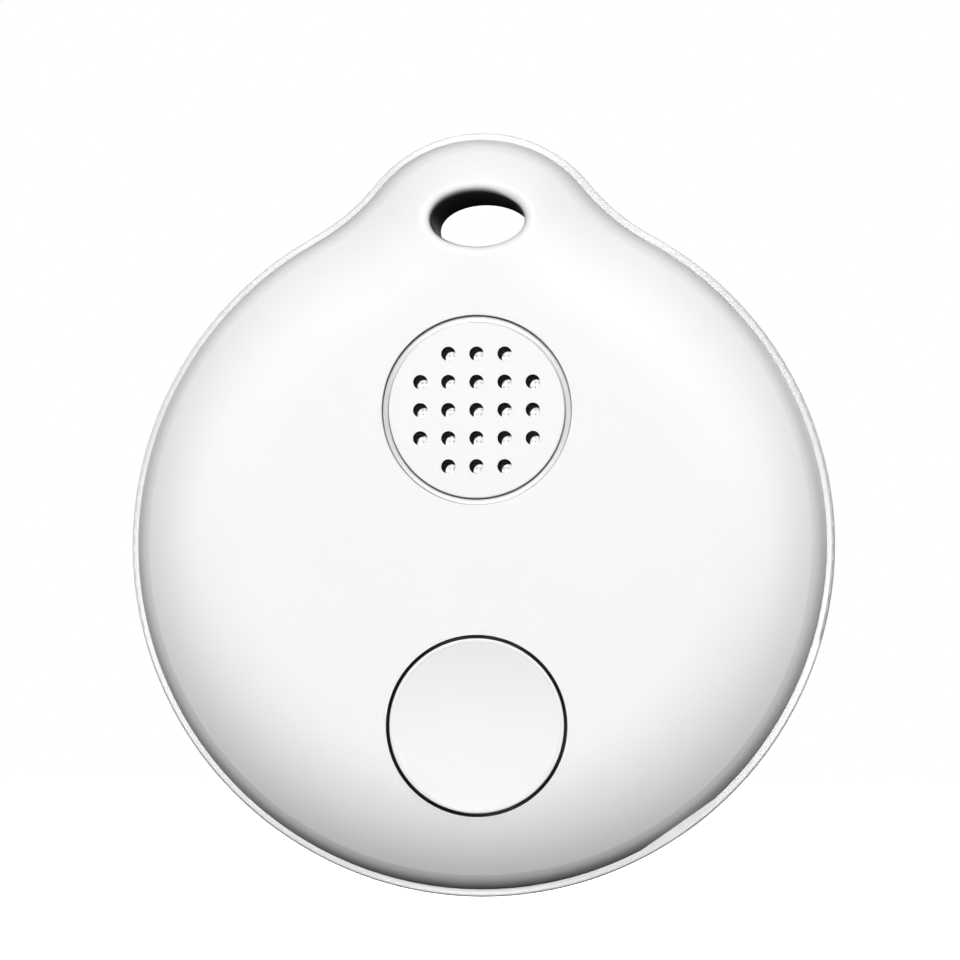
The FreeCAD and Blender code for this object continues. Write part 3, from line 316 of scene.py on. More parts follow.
def ringHoleShade(tree, axes, spec):
    # painted shade inside the top of the ring hole: how far a point is from the oval's
    # edge, measured outwards, and on which side of the hole
    x, z = axes["X"], axes["Z"]
    wide, high = spec["halfWidth"] * mm, spec["halfHeight"] * mm
    reach = lengthOf(tree, calculate(tree, "DIVIDE", x, wide), calculate(tree, "DIVIDE", z, high))
    slope = lengthOf(tree, calculate(tree, "DIVIDE", x, wide * wide),
                     calculate(tree, "DIVIDE", z, high * high))
    beyond = product(tree, calculate(tree, "SUBTRACT", reach, 1.0), reach)
    off = calculate(tree, "DIVIDE", beyond, slope)
    side = towards(tree, x, z, spec["heading"], lengthOf(tree, x, z))
    spread = calculate(tree, "MULTIPLY_ADD", ramp(tree, side, *spec["topSide"]),
                       (spec["reach"] - spec["reachBeside"]) * mm, spec["reachBeside"] * mm)
    near = calculate(tree, "POWER", ramp(tree, calculate(tree, "DIVIDE", off, spread), 1.0, 0.0),
                     spec["falloff"])
    return product(tree, near, ramp(tree, side, *spec["darkSide"]))


seams = {
    # mm; the lines of shade in the narrow steps of the front face, painted on
    "grille": {"radius": 5.03, "width": 0.075, "heading": (-0.2, 1.0)},
    "disc": {"radius": 4.72, "width": 0.065, "heading": (0.0, -1.0)},
    "fade": (-1.3, 1.0),      # from the weak side of a grille line to its strong side
    "shade": "#4C4C4D",
    "gapOuter": (4.835, 4.82),   # the wall of the button's opening
    "gapInner": (4.63, 4.65),    # the outer wall of the button
    "gapShade": "#A2A2A3",
    "frontOnly": (-2.0, -2.5),   # along Y, so that the back stays plain
}


def grilleLine(tree, axes, spec):
    # a thin line of painted shade round the grille's axis, strongest on one side
    x, z, away = fromAxis(tree, axes, "grille_disc")
    off = calculate(tree, "ABSOLUTE", calculate(tree, "SUBTRACT", away, spec["radius"] * mm))
    line = ramp(tree, off, spec["width"] * mm, 0.0)
    side = ramp(tree, towards(tree, x, z, spec["heading"], away), *seams["fade"])
    return product(tree, line, side)


ledge = {
    # the painted light along the foot of the ledge, and its colour and strength
    "depth": (-0.92, -0.82),  # mm along Y, just in front of the ledge's face
    "facing": (-0.8, -0.99),  # only where it faces forward
    "radius": (18.0, 18.2),   # mm from the tag's centre
    "low": (-0.45, 0.6),      # fades in towards the foot of the tag
    "tone": "#FFFFFF",
    "strength": 0.35,
}


def ledgeLight(tree, place, axes, spec):
    # a little painted light along the foot of the ledge, which the lamps reach poorly
    normal = addNode(tree, "ShaderNodeSeparateXYZ", links={0: place.node.outputs["Normal"]})
    flat = product(tree, ramp(tree, normal.outputs["Y"], *spec["facing"]),
                   rampAcross(tree, axes["Y"], spec["depth"]))
    x, z, away = fromAxis(tree, axes, "coin_cell_can")
    low = ramp(tree, towards(tree, x, z, (0.0, -1.0), away), *spec["low"])
    return product(tree, flat, low, rampAcross(tree, away, spec["radius"]), spec["strength"])


def caseAbs(name, spec):
    # the case's ABS, with painted shade in the ring hole and the seams, and painted light on the ledge
    material, tree, shader, place, tone = mouldedAbs(name, spec)
    axes = addNode(tree, "ShaderNodeSeparateXYZ", links={0: place}).outputs
    inHole = ringHoleShade(tree, axes, ringHole)
    kept = calculate(tree, "SUBTRACT", 1.0, product(tree, inHole, ringHole["dulled"]))
    tree.links.new(product(tree, kept, 0.5), shader.inputs["Specular IOR Level"])
    tone = twoTones(tree, tone, ringHole["tone"], inHole)
    front = rampAcross(tree, axes["Y"], seams["frontOnly"])
    tone = twoTones(tree, tone, seams["shade"],
                    product(tree, front, grilleLine(tree, axes, seams["grille"])))
    opening = rampAcross(tree, fromAxis(tree, axes, "switch_plunger")[2], seams["gapOuter"])
    tone = twoTones(tree, tone, seams["gapShade"], product(tree, front, opening))
    tree.links.new(tone, shader.inputs["Base Color"])
    shader.inputs["Emission Color"].default_value = sceneColour(ledge["tone"])
    tree.links.new(ledgeLight(tree, place, axes, ledge), shader.inputs["Emission Strength"])
    return material


grilleBores = {
    "pitch": 1.5,             # mm
    "field": (3.79, 3.78),    # mm from the disc's centre that holds every bore
    "whiteRadius": 0.36,      # mm of the mesh that shows pale in each bore
    "whiteOffset": (0.20, -0.24),
    "soft": 0.05,
    # the colour of the painted shadow in each bore
    "dark": "#0D0D0E",
    "wall": (0.40, 0.39),     # mm from a bore's axis that counts as its wall
    "mouth": (0.004, 0.03),   # mm under the face where the wall starts
}


def nearestBore(tree, place, spec, offset=(0.0, 0.0)):
    # distance across the face to the nearest bore's axis, or to a point offset from it
    centre = bodyCentre("grille_disc")
    axes = addNode(tree, "ShaderNodeSeparateXYZ", links={0: place})
    half = spec["pitch"] / 2 * mm
    squares = []
    for letter, middle, shift in (("X", centre.x, offset[0]), ("Z", centre.z, offset[1])):
        local = calculate(tree, "SUBTRACT", axes.outputs[letter], middle)
        local = calculate(tree, "WRAP", local, half, -half)
        moved = calculate(tree, "SUBTRACT", local, shift * mm)
        squares.append(product(tree, moved, moved))
    return calculate(tree, "SQRT", calculate(tree, "ADD", *squares)), axes.outputs


def paleShare(tree, place, bores):
    # 1 on the pale patch in each bore, 0 on the crescent of painted shadow beside it; both are painted on
    away = nearestBore(tree, place, bores, bores["whiteOffset"])[0]
    return ramp(tree, away, (bores["whiteRadius"] + bores["soft"] / 2) * mm,
                (bores["whiteRadius"] - bores["soft"] / 2) * mm)


def boredAbs(name, spec, bores):
    # the grille's ABS: each bore's wall is painted dark on its shaded side
    material, tree, shader, place, tone = mouldedAbs(name, spec)
    away, axes = nearestBore(tree, place, bores)
    inBore = rampAcross(tree, away, bores["wall"])
    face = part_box("grille_disc")[0][1] / mm
    below = rampAcross(tree, axes["Y"], [face + depth for depth in bores["mouth"]])
    inField = rampAcross(tree, fromAxis(tree, axes, "grille_disc")[2], bores["field"])
    shaded = calculate(tree, "SUBTRACT", 1.0, paleShare(tree, place, bores))
    dark = product(tree, inBore, below, inField, shaded)
    # painted shade along the disc's edge, strongest at its foot
    tone = twoTones(tree, tone, seams["shade"], grilleLine(tree, axes, seams["disc"]))
    tree.links.new(twoTones(tree, tone, bores["dark"], dark), shader.inputs["Base Color"])
    return material


def buttonSeamAbs(name, spec, roughness):
    # the button's ABS, with the gap's shade painted down its outer wall
    material, tree, shader, place, tone = mouldedAbs(name, spec, roughness)
    axes = addNode(tree, "ShaderNodeSeparateXYZ", links={0: place}).outputs
    away = fromAxis(tree, axes, "switch_plunger")[2]
    tree.links.new(twoTones(tree, tone, seams["gapShade"], rampAcross(tree, away, seams["gapInner"])),
                   shader.inputs["Base Color"])
    return material


def wovenNylon(name, bores):
    # acoustic mesh, woven nylon 6.6: matt threads with a slight sheen, with the bores' painted shadow
    # crescents
    material, tree, shader, place = newSurface(name, "#FFFFFD", 0.6, ior=1.53)
    pale = paleShare(tree, place, bores)
    fibre = addNode(tree, "ShaderNodeTexNoise", values={"Scale": 1 / (0.06 * mm), "Detail": 2.0},
                    links={"Vector": place})
    tone = twoTones(tree, "#FFFFFD", "#F8F8F6", fibre.outputs["Fac"])
    tree.links.new(twoTones(tree, bores["dark"], tone, pale), shader.inputs["Base Color"])
    drawGloss(tree, shader, fibre.outputs["Fac"], 0.52, 0.68)
    return material


def speckled(name, base, second, roughness, size, depth, metallic=0.0, contrast=1.0):
    # a fine two-tone grain with its own relief: moulded resin, fired ceramic, foam, pressed ferrite
    material, tree, shader, place = newSurface(name, base, roughness, metallic)
    grain = addNode(tree, "ShaderNodeTexNoise", values={"Scale": 1 / (size * mm), "Detail": 4.0,
                                                        "Roughness": 0.65}, links={"Vector": place})
    share = ramp(tree, grain.outputs["Fac"], 0.5 - 0.3 / contrast, 0.5 + 0.3 / contrast)
    tree.links.new(twoTones(tree, base, second, share), shader.inputs["Base Color"])
    drawGloss(tree, shader, grain.outputs["Fac"], max(roughness - 0.08, 0.02), roughness + 0.08)
    drawBump(tree, shader, grain.outputs["Fac"], depth)
    return material


def rolledMetal(name, base, second, roughness, line, stretch=(1, 1, 12)):
    # cold rolled sheet: fine lines along the roll, which draw the highlight out
    material, tree, shader, place = newSurface(name, base, roughness, 1.0)
    roll = addNode(tree, "ShaderNodeMapping", values={"Scale": tuple(1 / v for v in stretch)},
                   links={"Vector": place})
    lines = addNode(tree, "ShaderNodeTexNoise", values={"Scale": 1 / (line * mm), "Detail": 3.0},
                    links={"Vector": roll.outputs[0]})
    tree.links.new(twoTones(tree, base, second, lines.outputs["Fac"]), shader.inputs["Base Color"])
    drawGloss(tree, shader, lines.outputs["Fac"], roughness - 0.07, roughness + 0.10)
    drawBump(tree, shader, lines.outputs["Fac"], 0.0015)
    return material


def spunMetal(name, base, second, roughness, ring, centre):
    # drawn and spun steel: faint rings about the cell's axis, and dulled patches from handling
    material, tree, shader, place = newSurface(name, base, roughness, 1.0)
    middle = addNode(tree, "ShaderNodeMapping", values={"Location": (-centre.x, 0.0, -centre.z),
                                                        "Scale": (1, 0, 1)}, links={"Vector": place})
    radius = addNode(tree, "ShaderNodeVectorMath", {"operation": "LENGTH"}, links={0: middle.outputs[0]})
    rings = addNode(tree, "ShaderNodeTexNoise", {"noise_dimensions": "1D"}, {
        "Scale": 1 / (ring * mm), "Detail": 4.0}, {"W": radius.outputs["Value"]})
    patches = addNode(tree, "ShaderNodeTexNoise", values={"Scale": 1 / (3.5 * mm), "Detail": 5.0},
                      links={"Vector": place})
    tree.links.new(twoTones(tree, base, second, patches.outputs["Fac"]), shader.inputs["Base Color"])
    both = calculate(tree, "ADD", product(tree, rings.outputs["Fac"], 0.5),
                     product(tree, patches.outputs["Fac"], 0.5))
    drawGloss(tree, shader, both, roughness - 0.08, roughness + 0.14)
    drawBump(tree, shader, rings.outputs["Fac"], 0.002)
    return material


def solderMask(name, spec):
    # FR4 under green solder mask: runs of copper track, with 45 degree jogs, stand up under the
    # lacquer and show lighter
    material, tree, shader, place = newSurface(name, spec["green"], 0.32, ior=1.55, coat=0.3)
    axes = addNode(tree, "ShaderNodeSeparateXYZ", links={0: place}).outputs
    swing = calculate(tree, "PINGPONG", axes["X"], spec["jogLength"] * mm)
    jog = calculate(tree, "MINIMUM", swing, spec["jogHeight"] * mm)
    run = calculate(tree, "PINGPONG", calculate(tree, "ADD", axes["Z"], jog),
                    spec["trackSpacing"] / 2 * mm)
    half = spec["trackWidth"] / 2
    track = rampAcross(tree, run, (half + 0.02, half))
    area = addNode(tree, "ShaderNodeTexNoise", values={"Scale": 1 / (spec["areaSize"] * mm), "Detail": 0.0},
                   links={"Vector": place})
    copper = product(tree, track, ramp(tree, area.outputs["Fac"], *spec["areaEdge"]))
    weave = addNode(tree, "ShaderNodeTexNoise", values={"Scale": 1 / (0.25 * mm), "Detail": 2.0},
                    links={"Vector": place})
    lacquer = twoTones(tree, spec["green"], spec["deep"], weave.outputs["Fac"])
    tree.links.new(twoTones(tree, lacquer, spec["overCopper"], copper), shader.inputs["Base Color"])
    drawGloss(tree, shader, weave.outputs["Fac"], 0.26, 0.38)
    drawBump(tree, shader, copper, spec["copperHeight"])
    return material


boardMask = {
    "green": "#14603A",
    "deep": "#0F5030",
    "overCopper": "#27804E",
    "trackSpacing": 0.7,      # mm
    "trackWidth": 0.25,
    "jogLength": 3.2,
    "jogHeight": 1.1,
    "areaSize": 5.0,          # mm, the patches of tracks and the bare ground between them
    "areaEdge": (0.47, 0.475),
    "copperHeight": 0.03,
}

whiteAbs = caseAbs("ABS moulded satin white", absPlastic)
buttonAbs = buttonSeamAbs("ABS moulded satin white button", absPlastic, 0.56)
grilleAbs = boredAbs("ABS moulded satin white grille", absPlastic, grilleBores)
meshNylon = wovenNylon("nylon woven acoustic mesh", grilleBores)

finishes = {
    # CAD node or nodes, and the finish each one carries
    "front_shell": whiteAbs,
    "rear_cover": whiteAbs,
    "grille_disc": grilleAbs,
    "circuit_board": solderMask("FR4 green solder mask", boardMask),
    "sounder_plate": rolledMetal("brass rolled sounder plate", "#D9B35C", "#C9A04B", 0.28, 0.12),
    "sounder_ceramic": speckled("piezo ceramic fired silver face", "#C9C9C4", "#B4B3AD", 0.42, 0.12, 0.003,
                                metallic=0.6),
    "sounder_tape_ring": speckled("acrylic foam tape black", "#161616", "#26262A", 0.85, 0.10, 0.01),
    "lead_wire_red": speckled("PVC wire insulation red", "#B31B1B", "#9E1414", 0.40, 0.25, 0.002),
    "lead_wire_black": speckled("PVC wire insulation black", "#161617", "#222224", 0.40, 0.25, 0.002),
    "solder_joints": speckled("tin solder reflowed", "#C8C9CC", "#AEB0B5", 0.24, 0.30, 0.006, metallic=1.0),
    "switch_housing": speckled("LCP moulded switch base", "#1B1B1C", "#2B2B2D", 0.55, 0.08, 0.004),
    "switch_plunger": speckled("nylon moulded plunger white", "#E9E8E2", "#DAD9D2", 0.48, 0.10, 0.003),
    "switch_frame": rolledMetal("stainless spring steel rolled", "#C2C2C4", "#A9A9AC", 0.26, 0.05),
    "switch_dome": rolledMetal("stainless snap dome rolled", "#CBCBCD", "#B2B2B5", 0.20, 0.05),
    "positive_contacts": rolledMetal("nickel plated spring contact", "#CFCCC2", "#B5B2A8", 0.24, 0.06),
    "negative_contact": rolledMetal("nickel plated spring ring", "#CFCCC2", "#B5B2A8", 0.24, 0.06,
                                    (12, 1, 1)),
    "radio_chip": speckled("epoxy moulded chip package", "#1A1A1B", "#2C2C2E", 0.50, 0.07, 0.004),
    "drive_transistor": speckled("epoxy moulded transistor package", "#19191A", "#2A2A2C", 0.52, 0.07, 0.004),
    "crystal_can": rolledMetal("nickel silver crystal can", "#CDC9BD", "#B9B5A9", 0.22, 0.08),
    "chip_antenna": speckled("LTCC ceramic fired antenna", "#D8DDE2", "#C4CBD3", 0.35, 0.09, 0.003),
    "boost_inductor": speckled("ferrite pressed and sintered", "#3A3A3C", "#4C4B4B", 0.62, 0.10, 0.012),
    "battery_tray": speckled("PC ABS moulded black", "#171718", "#212124", 0.46, 0.12, 0.006),
    "coin_cell_can": spunMetal("nickel plated steel spun can", "#C9CBCE", "#B3B5B9", 0.22, 0.05,
                               bodyCentre("coin_cell_can")),
    "coin_cell_cap": spunMetal("nickel plated steel spun cap", "#C9CBCE", "#B1B3B7", 0.25, 0.05,
                               bodyCentre("coin_cell_cap")),
    "coin_cell_gasket": speckled("polypropylene gasket grey", "#6B6E70", "#7A7D80", 0.55, 0.15, 0.003),
}
for node, finish in finishes.items():
    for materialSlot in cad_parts[node].material_slots:
        materialSlot.material = finish

print("woven mesh, screws, chips and foam pad")


def addPiece(name, mesh, body, slotName, material, *replaced):
    piece = bpy.data.objects.new(name, mesh)
    bpy.context.collection.objects.link(piece)
    if material:
        mesh.materials.clear()
        mesh.materials.append(material)
    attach(piece, body)
    if replaced:
        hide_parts(*replaced)
    return piece


def newNodeTree(name, inputs):
    # an empty Geometry Nodes tree with a geometry in and out and named inputs
    tree = bpy.data.node_groups.new(name, "GeometryNodeTree")
    tree.interface.new_socket("Geometry", in_out="INPUT", socket_type="NodeSocketGeometry")
    tree.interface.new_socket("Geometry", in_out="OUTPUT", socket_type="NodeSocketGeometry")
    for label, kind in inputs:
        tree.interface.new_socket(label, in_out="INPUT", socket_type=kind)
    return tree, addNode(tree, "NodeGroupInput")


def growMesh(name, points, tree, settings):
    # runs a tree on a mesh of bare points and returns the result as a plain mesh
    seedMesh = bpy.data.meshes.new(name + "_points")
    seedMesh.from_pydata(points, [], [])
    host = bpy.data.objects.new(name + "_host", seedMesh)
    bpy.context.collection.objects.link(host)
    modifier = host.modifiers.new(name, "NODES")
    modifier.node_group = tree
    for item in tree.interface.items_tree:
        if item.item_type == "SOCKET" and item.in_out == "INPUT" and item.name in settings:
            modifier[item.identifier] = settings[item.name]
    graph = bpy.context.evaluated_depsgraph_get()
    mesh = bpy.data.meshes.new_from_object(host.evaluated_get(graph), depsgraph=graph)
    mesh.name = name
    bpy.data.objects.remove(host)
    return mesh


# many small pieces from one: each point of the host mesh carries a copy, turned by chance up to Spin
copyTree, copyInputs = newNodeTree("copies on points", (
    ("Item", "NodeSocketObject"), ("Spin", "NodeSocketFloat"), ("Seed", "NodeSocketInt"),
    ("Finish", "NodeSocketMaterial")))
itemShape = addNode(copyTree, "GeometryNodeObjectInfo", links={"Object": copyInputs.outputs["Item"]})
spinBy = addNode(copyTree, "FunctionNodeRandomValue", {"data_type": "FLOAT"}, links={
    "Max": copyInputs.outputs["Spin"], "Seed": copyInputs.outputs["Seed"]})
spin = addNode(copyTree, "ShaderNodeCombineXYZ", links={"Y": spinBy.outputs[1]})
copies = addNode(copyTree, "GeometryNodeInstanceOnPoints", links={
    "Points": copyInputs.outputs["Geometry"], "Instance": itemShape.outputs["Geometry"],
    "Rotation": spin.outputs[0]})
copiesMade = addNode(copyTree, "GeometryNodeRealizeInstances", links={0: copies.outputs[0]})
copiesFinished = addNode(copyTree, "GeometryNodeSetMaterial", links={
    0: copiesMade.outputs[0], "Material": copyInputs.outputs["Finish"]})
addNode(copyTree, "NodeGroupOutput", links={0: copiesFinished.outputs[0]})


def copyOnto(name, shape, places, finish, spin=0.0, seed=3):
    # a plain mesh with a copy of one shape on each place
    item = bpy.data.objects.new(name + "_item", shape)
    mesh = growMesh(name, places, copyTree, {"Item": item, "Spin": spin, "Seed": seed, "Finish": finish})
    bpy.data.objects.remove(item)
    return mesh


weaveDepth = 0.15             # mm below the disc's face, further forward than the CAD mesh, so that it shows
weave = {
    "Radius": 4.23 * mm,
    "Pitch": 0.24 * mm,       # drawn about three times as coarse as acoustic mesh, so that it shows
    "Ribbon": 0.115 * mm,     # half the width of a thread
    "Flat": 0.010 * mm,       # half its thickness
    "Wave": 0.013 * mm,       # how far it rises and dips at each crossing
    "Step": 0.07 * mm,
    "Count": 36,
}


def makeWeaveTree():
    # threads that rise and dip over their neighbours, cut to a disc, and the same turned a
    # quarter: the turn swaps over and under, which makes the plain weave
    lengths = [(label, "NodeSocketFloat") for label in ("Radius", "Pitch", "Ribbon", "Flat", "Wave", "Step")]
    tree, given = newNodeTree("plain weave", lengths + [
        ("Count", "NodeSocketInt"), ("Place", "NodeSocketVector"), ("Finish", "NodeSocketMaterial")])
    radius, pitch = given.outputs["Radius"], given.outputs["Pitch"]
    start = addNode(tree, "ShaderNodeCombineXYZ", links={"X": product(tree, radius, -1.0)})
    end = addNode(tree, "ShaderNodeCombineXYZ", links={"X": radius})
    line = addNode(tree, "GeometryNodeCurvePrimitiveLine", links={
        "Start": start.outputs[0], "End": end.outputs[0]})
    thread = addNode(tree, "GeometryNodeResampleCurve", {"mode": "LENGTH"}, links={
        "Curve": line.outputs[0], "Length": given.outputs["Step"]})
    firstAt = product(tree, calculate(tree, "SUBTRACT", given.outputs["Count"], 1.0),
                      product(tree, pitch, -0.5))
    rowStart = addNode(tree, "ShaderNodeCombineXYZ", links={"Z": firstAt})
    rowStep = addNode(tree, "ShaderNodeCombineXYZ", links={"Z": pitch})
    rows = addNode(tree, "GeometryNodeMeshLine", {"mode": "OFFSET"}, links={
        "Count": given.outputs["Count"], "Start Location": rowStart.outputs[0], "Offset": rowStep.outputs[0]})
    laid = addNode(tree, "GeometryNodeInstanceOnPoints", links={"Points": rows.outputs[0],
                                                                "Instance": thread.outputs[0]})
    threads = addNode(tree, "GeometryNodeRealizeInstances", links={0: laid.outputs[0]})
    at = addNode(tree, "GeometryNodeInputPosition")
    axes = addNode(tree, "ShaderNodeSeparateXYZ", links={0: at.outputs[0]})
    crossings = calculate(tree, "DIVIDE", calculate(tree, "ADD", axes.outputs["X"], axes.outputs["Z"]), pitch)
    phase = product(tree, calculate(tree, "SUBTRACT", crossings, 1.0), math.pi)
    rise = product(tree, calculate(tree, "COSINE", phase), given.outputs["Wave"])
    lift = addNode(tree, "ShaderNodeCombineXYZ", links={"Y": rise})
    waved = addNode(tree, "GeometryNodeSetPosition", links={0: threads.outputs[0], "Offset": lift.outputs[0]})
    reach = addNode(tree, "ShaderNodeVectorMath", {"operation": "LENGTH"}, links={0: at.outputs[0]})
    outside = addNode(tree, "FunctionNodeCompare", {"data_type": "FLOAT", "operation": "GREATER_THAN"},
                      links={0: reach.outputs["Value"], 1: radius})
    cut = addNode(tree, "GeometryNodeDeleteGeometry", {"domain": "POINT"}, links={
        0: waved.outputs[0], "Selection": outside.outputs[0]})
    upright = addNode(tree, "GeometryNodeSetCurveNormal", {"mode": "Z_UP"}, links={0: cut.outputs[0]})
    ring = addNode(tree, "GeometryNodeCurvePrimitiveCircle", values={"Resolution": 6, "Radius": 1.0})
    oval = addNode(tree, "ShaderNodeCombineXYZ", values={"Z": 1.0}, links={
        "X": given.outputs["Flat"], "Y": given.outputs["Ribbon"]})
    section = addNode(tree, "GeometryNodeTransform", links={0: ring.outputs[0], "Scale": oval.outputs[0]})
    warp = addNode(tree, "GeometryNodeCurveToMesh", values={"Fill Caps": True}, links={
        "Curve": upright.outputs[0], "Profile Curve": section.outputs[0]})
    weft = addNode(tree, "GeometryNodeTransform", values={"Rotation": (0.0, math.radians(90), 0.0)},
                   links={0: warp.outputs[0]})
    cloth = addNode(tree, "GeometryNodeJoinGeometry")
    tree.links.new(weft.outputs[0], cloth.inputs[0])
    tree.links.new(warp.outputs[0], cloth.inputs[0])
    placed = addNode(tree, "GeometryNodeTransform", links={
        0: cloth.outputs[0], "Translation": given.outputs["Place"]})
    made = addNode(tree, "GeometryNodeRealizeInstances", links={0: placed.outputs[0]})
    finished = addNode(tree, "GeometryNodeSetMaterial", links={0: made.outputs[0],
                                                               "Material": given.outputs["Finish"]})
    addNode(tree, "NodeGroupOutput", links={0: finished.outputs[0]})
    return tree


weaveAt = bodyCentre("dust_mesh")
weaveAt.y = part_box("grille_disc")[0][1] + weaveDepth * mm
weave["Place"] = tuple(weaveAt)
weave["Finish"] = meshNylon
weaveMesh = growMesh("dust_weave", [(0, 0, 0)], makeWeaveTree(), weave)
addPiece("dust_weave", weaveMesh, "housing", "mesh_white", None, "dust_mesh")

cellCentre = bodyCentre("coin_cell_can")


def aroundCell(radius, turn, depth):
    # a point on a circle round the cell's axis, radius in mm
    return (cellCentre.x + radius * mm * math.cos(turn), depth, cellCentre.z + radius * mm * math.sin(turn))


def outwardMesh(name, mesh):
    # turns every face outwards and hands back mesh data
    bmesh.ops.recalc_face_normals(mesh, faces=mesh.faces)
    data = bpy.data.meshes.new(name)
    mesh.to_mesh(data)
    mesh.free()
    return data


def closeMesh(name, mesh, smooth=True):
    # the same, with doubles merged
    bmesh.ops.remove_doubles(mesh, verts=mesh.verts, dist=0.0005 * mm)
    for face in mesh.faces:
        face.smooth = smooth
    return outwardMesh(name, mesh)


def joinRings(mesh, rings):
    # faces between neighbouring rings; a ring of one point is a pole
    for lower, upper in zip(rings, rings[1:]):
        count = max(len(lower), len(upper))
        for i in range(count):
            j = (i + 1) % count
            if len(lower) == 1:
                mesh.faces.new((lower[0], upper[i], upper[j]))
            elif len(upper) == 1:
                mesh.faces.new((lower[i], lower[j], upper[0]))
            else:
                mesh.faces.new((lower[i], lower[j], upper[j], upper[i]))


def lathe(mesh, profile, segments):
    # turns a closed outline of (radius, height) about the Y axis; points on the axis become poles
    rings = []
    for radius, height in profile:
        if radius == 0:
            rings.append([mesh.verts.new((0, height * mm, 0))])
        else:
            rings.append([mesh.verts.new((radius * mm * math.cos(2 * math.pi * i / segments), height * mm,
                                          radius * mm * math.sin(2 * math.pi * i / segments)))
                          for i in range(segments)])
    joinRings(mesh, rings)


def roundedBlock(name, size, bevel, segments=2):
    # a block with rounded edges, centred on the origin
    mesh = bmesh.new()
    bmesh.ops.create_cube(mesh, size=1.0)
    bmesh.ops.scale(mesh, vec=[v * mm for v in size], verts=mesh.verts)
    bmesh.ops.bevel(mesh, geom=mesh.edges[:], offset=bevel * mm, segments=segments, affect="EDGES",
                    profile=0.5)
    return closeMesh(name, mesh)


button = {
    # mm; heights are above the flat back of the tag
    "face": 8.4,
    "radius": 4.65,
    "edge": 0.07,             # rounding of the outer edge
    "rim": 0.13,              # width of the flat rim round the dish
    "step": 0.02,             # the dish starts this far under the rim
    "dish": 0.42,             # depth of the dish at its middle
    "under": 7.5,             # underside of the skin
    "flangeTop": 7.08,
    "flangeBottom": 6.75,
    "flangeRadius": 5.4,
    "flangeFlat": -4.0,       # the flange is cut flat here, clear of the wall
    "coreRadius": 3.8,
    "pinRadius": 1.0,
    "pinEnd": 6.62,
    "crownRadius": 12.37,     # the case is flat out to here, and rolls off at shoulderRadius
    "shoulderRadius": 9.0,
    "segments": 144,
    "dishRings": 24,
    "lead": 0.1,              # chamfer on the pin's end
    "crisp": 35,              # degrees; sharper edges than this stay crisp
}


def caseDrop(x, z, spec):
    # how far the case's face has rolled off at a point given from the tag's centre
    beyond = max(0.0, math.hypot(x, z) - spec["crownRadius"])
    return spec["shoulderRadius"] - math.sqrt(spec["shoulderRadius"] ** 2 - beyond ** 2)


def makeButton(spec):
    # a dished cap whose rim lies flush with the rolling face round it, on a flange, with a pin behind
    axis = bodyCentre("switch_plunger")
    offset = (axis.z - cellCentre.z) / mm
    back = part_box("rear_cover")[1][1] / mm
    dishEdge = spec["radius"] - spec["edge"] - spec["rim"]
    outline = [("dish", i / spec["dishRings"] * dishEdge) for i in range(spec["dishRings"] + 1)]
    outline += [("rim", dishEdge + 0.015), ("rim", spec["radius"] - spec["edge"])]
    outline += [("edge", math.radians(a)) for a in (22.5, 45, 67.5, 90)]
    outline += [("level", spec[radius], spec[level]) for radius, level in (
        ("radius", "flangeTop"), ("flangeRadius", "flangeTop"), ("flangeRadius", "flangeBottom"),
        ("coreRadius", "flangeBottom"), ("coreRadius", "under"), ("pinRadius", "under"))]
    outline += [("level", spec["pinRadius"], spec["pinEnd"] + spec["lead"]),
                ("level", spec["pinRadius"] - spec["lead"], spec["pinEnd"]), ("level", 0.0, spec["pinEnd"])]
    mesh = bmesh.new()
    rings = []
    for kind, *numbers in outline:
        ring = []
        for i in range(spec["segments"]):
            turn = 2 * math.pi * i / spec["segments"]
            across, up = math.cos(turn), math.sin(turn)
            rimLevel = spec["face"] - caseDrop(across * spec["radius"], up * spec["radius"] + offset, spec)
            if kind == "dish":
                reach = numbers[0]
                bowl = rimLevel - spec["step"] - (spec["face"] - spec["dish"])
                level = rimLevel - spec["step"] - bowl * (1 - (reach / dishEdge) ** 2)
            elif kind == "rim":
                reach, level = numbers[0], rimLevel
            elif kind == "edge":
                reach = spec["radius"] - spec["edge"] + spec["edge"] * math.sin(numbers[0])
                level = rimLevel - spec["edge"] + spec["edge"] * math.cos(numbers[0])
            else:
                reach, level = numbers
            x, z = reach * across, reach * up
            if kind == "level" and level <= spec["flangeTop"] and reach > spec["coreRadius"]:
                z = max(z, spec["flangeFlat"])
            ring.append(mesh.verts.new((axis.x + x * mm, (back - level) * mm, axis.z + z * mm)))
            if reach == 0:
                break
        rings.append(ring)
    joinRings(mesh, rings)
    return closeMesh("button_moulded", mesh)


buttonPiece = addPiece("button_moulded", makeButton(button), "button", "button_white", buttonAbs,
                       "button_cap")
buttonPiece.data.set_sharp_from_angle(angle=math.radians(button["crisp"]))


screw = {
    "ring": 13.6,             # mm, the circle that the three screws stand on
    "angles": (20, 160, 310),
    "headRadius": 1.15,
    "headHeight": 0.7,
    "headRound": 0.28,
    "shankRadius": 0.46,      # mm at the thread's root
    "threadRadius": 0.60,
    "threadPitch": 0.34,
    "length": 2.55,
    "recess": (0.55, 0.26, 0.4),   # half length, width and depth of the cross
    "recessTaper": 0.72,
    "tip": (0.30, 0.25),      # radius at the end, and length of the taper to it
    "threadStart": 0.2,       # mm up from the end
    "threadFree": 0.35,       # mm of the length that carries no thread
    "threadFade": (14, 8),    # steps over which the crest rises at the tip and falls at the head
    "threadHalf": 0.10,       # half the thread's height at its root
    "crestHalf": 0.02,
    "threadSink": 0.05,       # mm that its root lies in the shank
    "stepsPerTurn": 20,
}


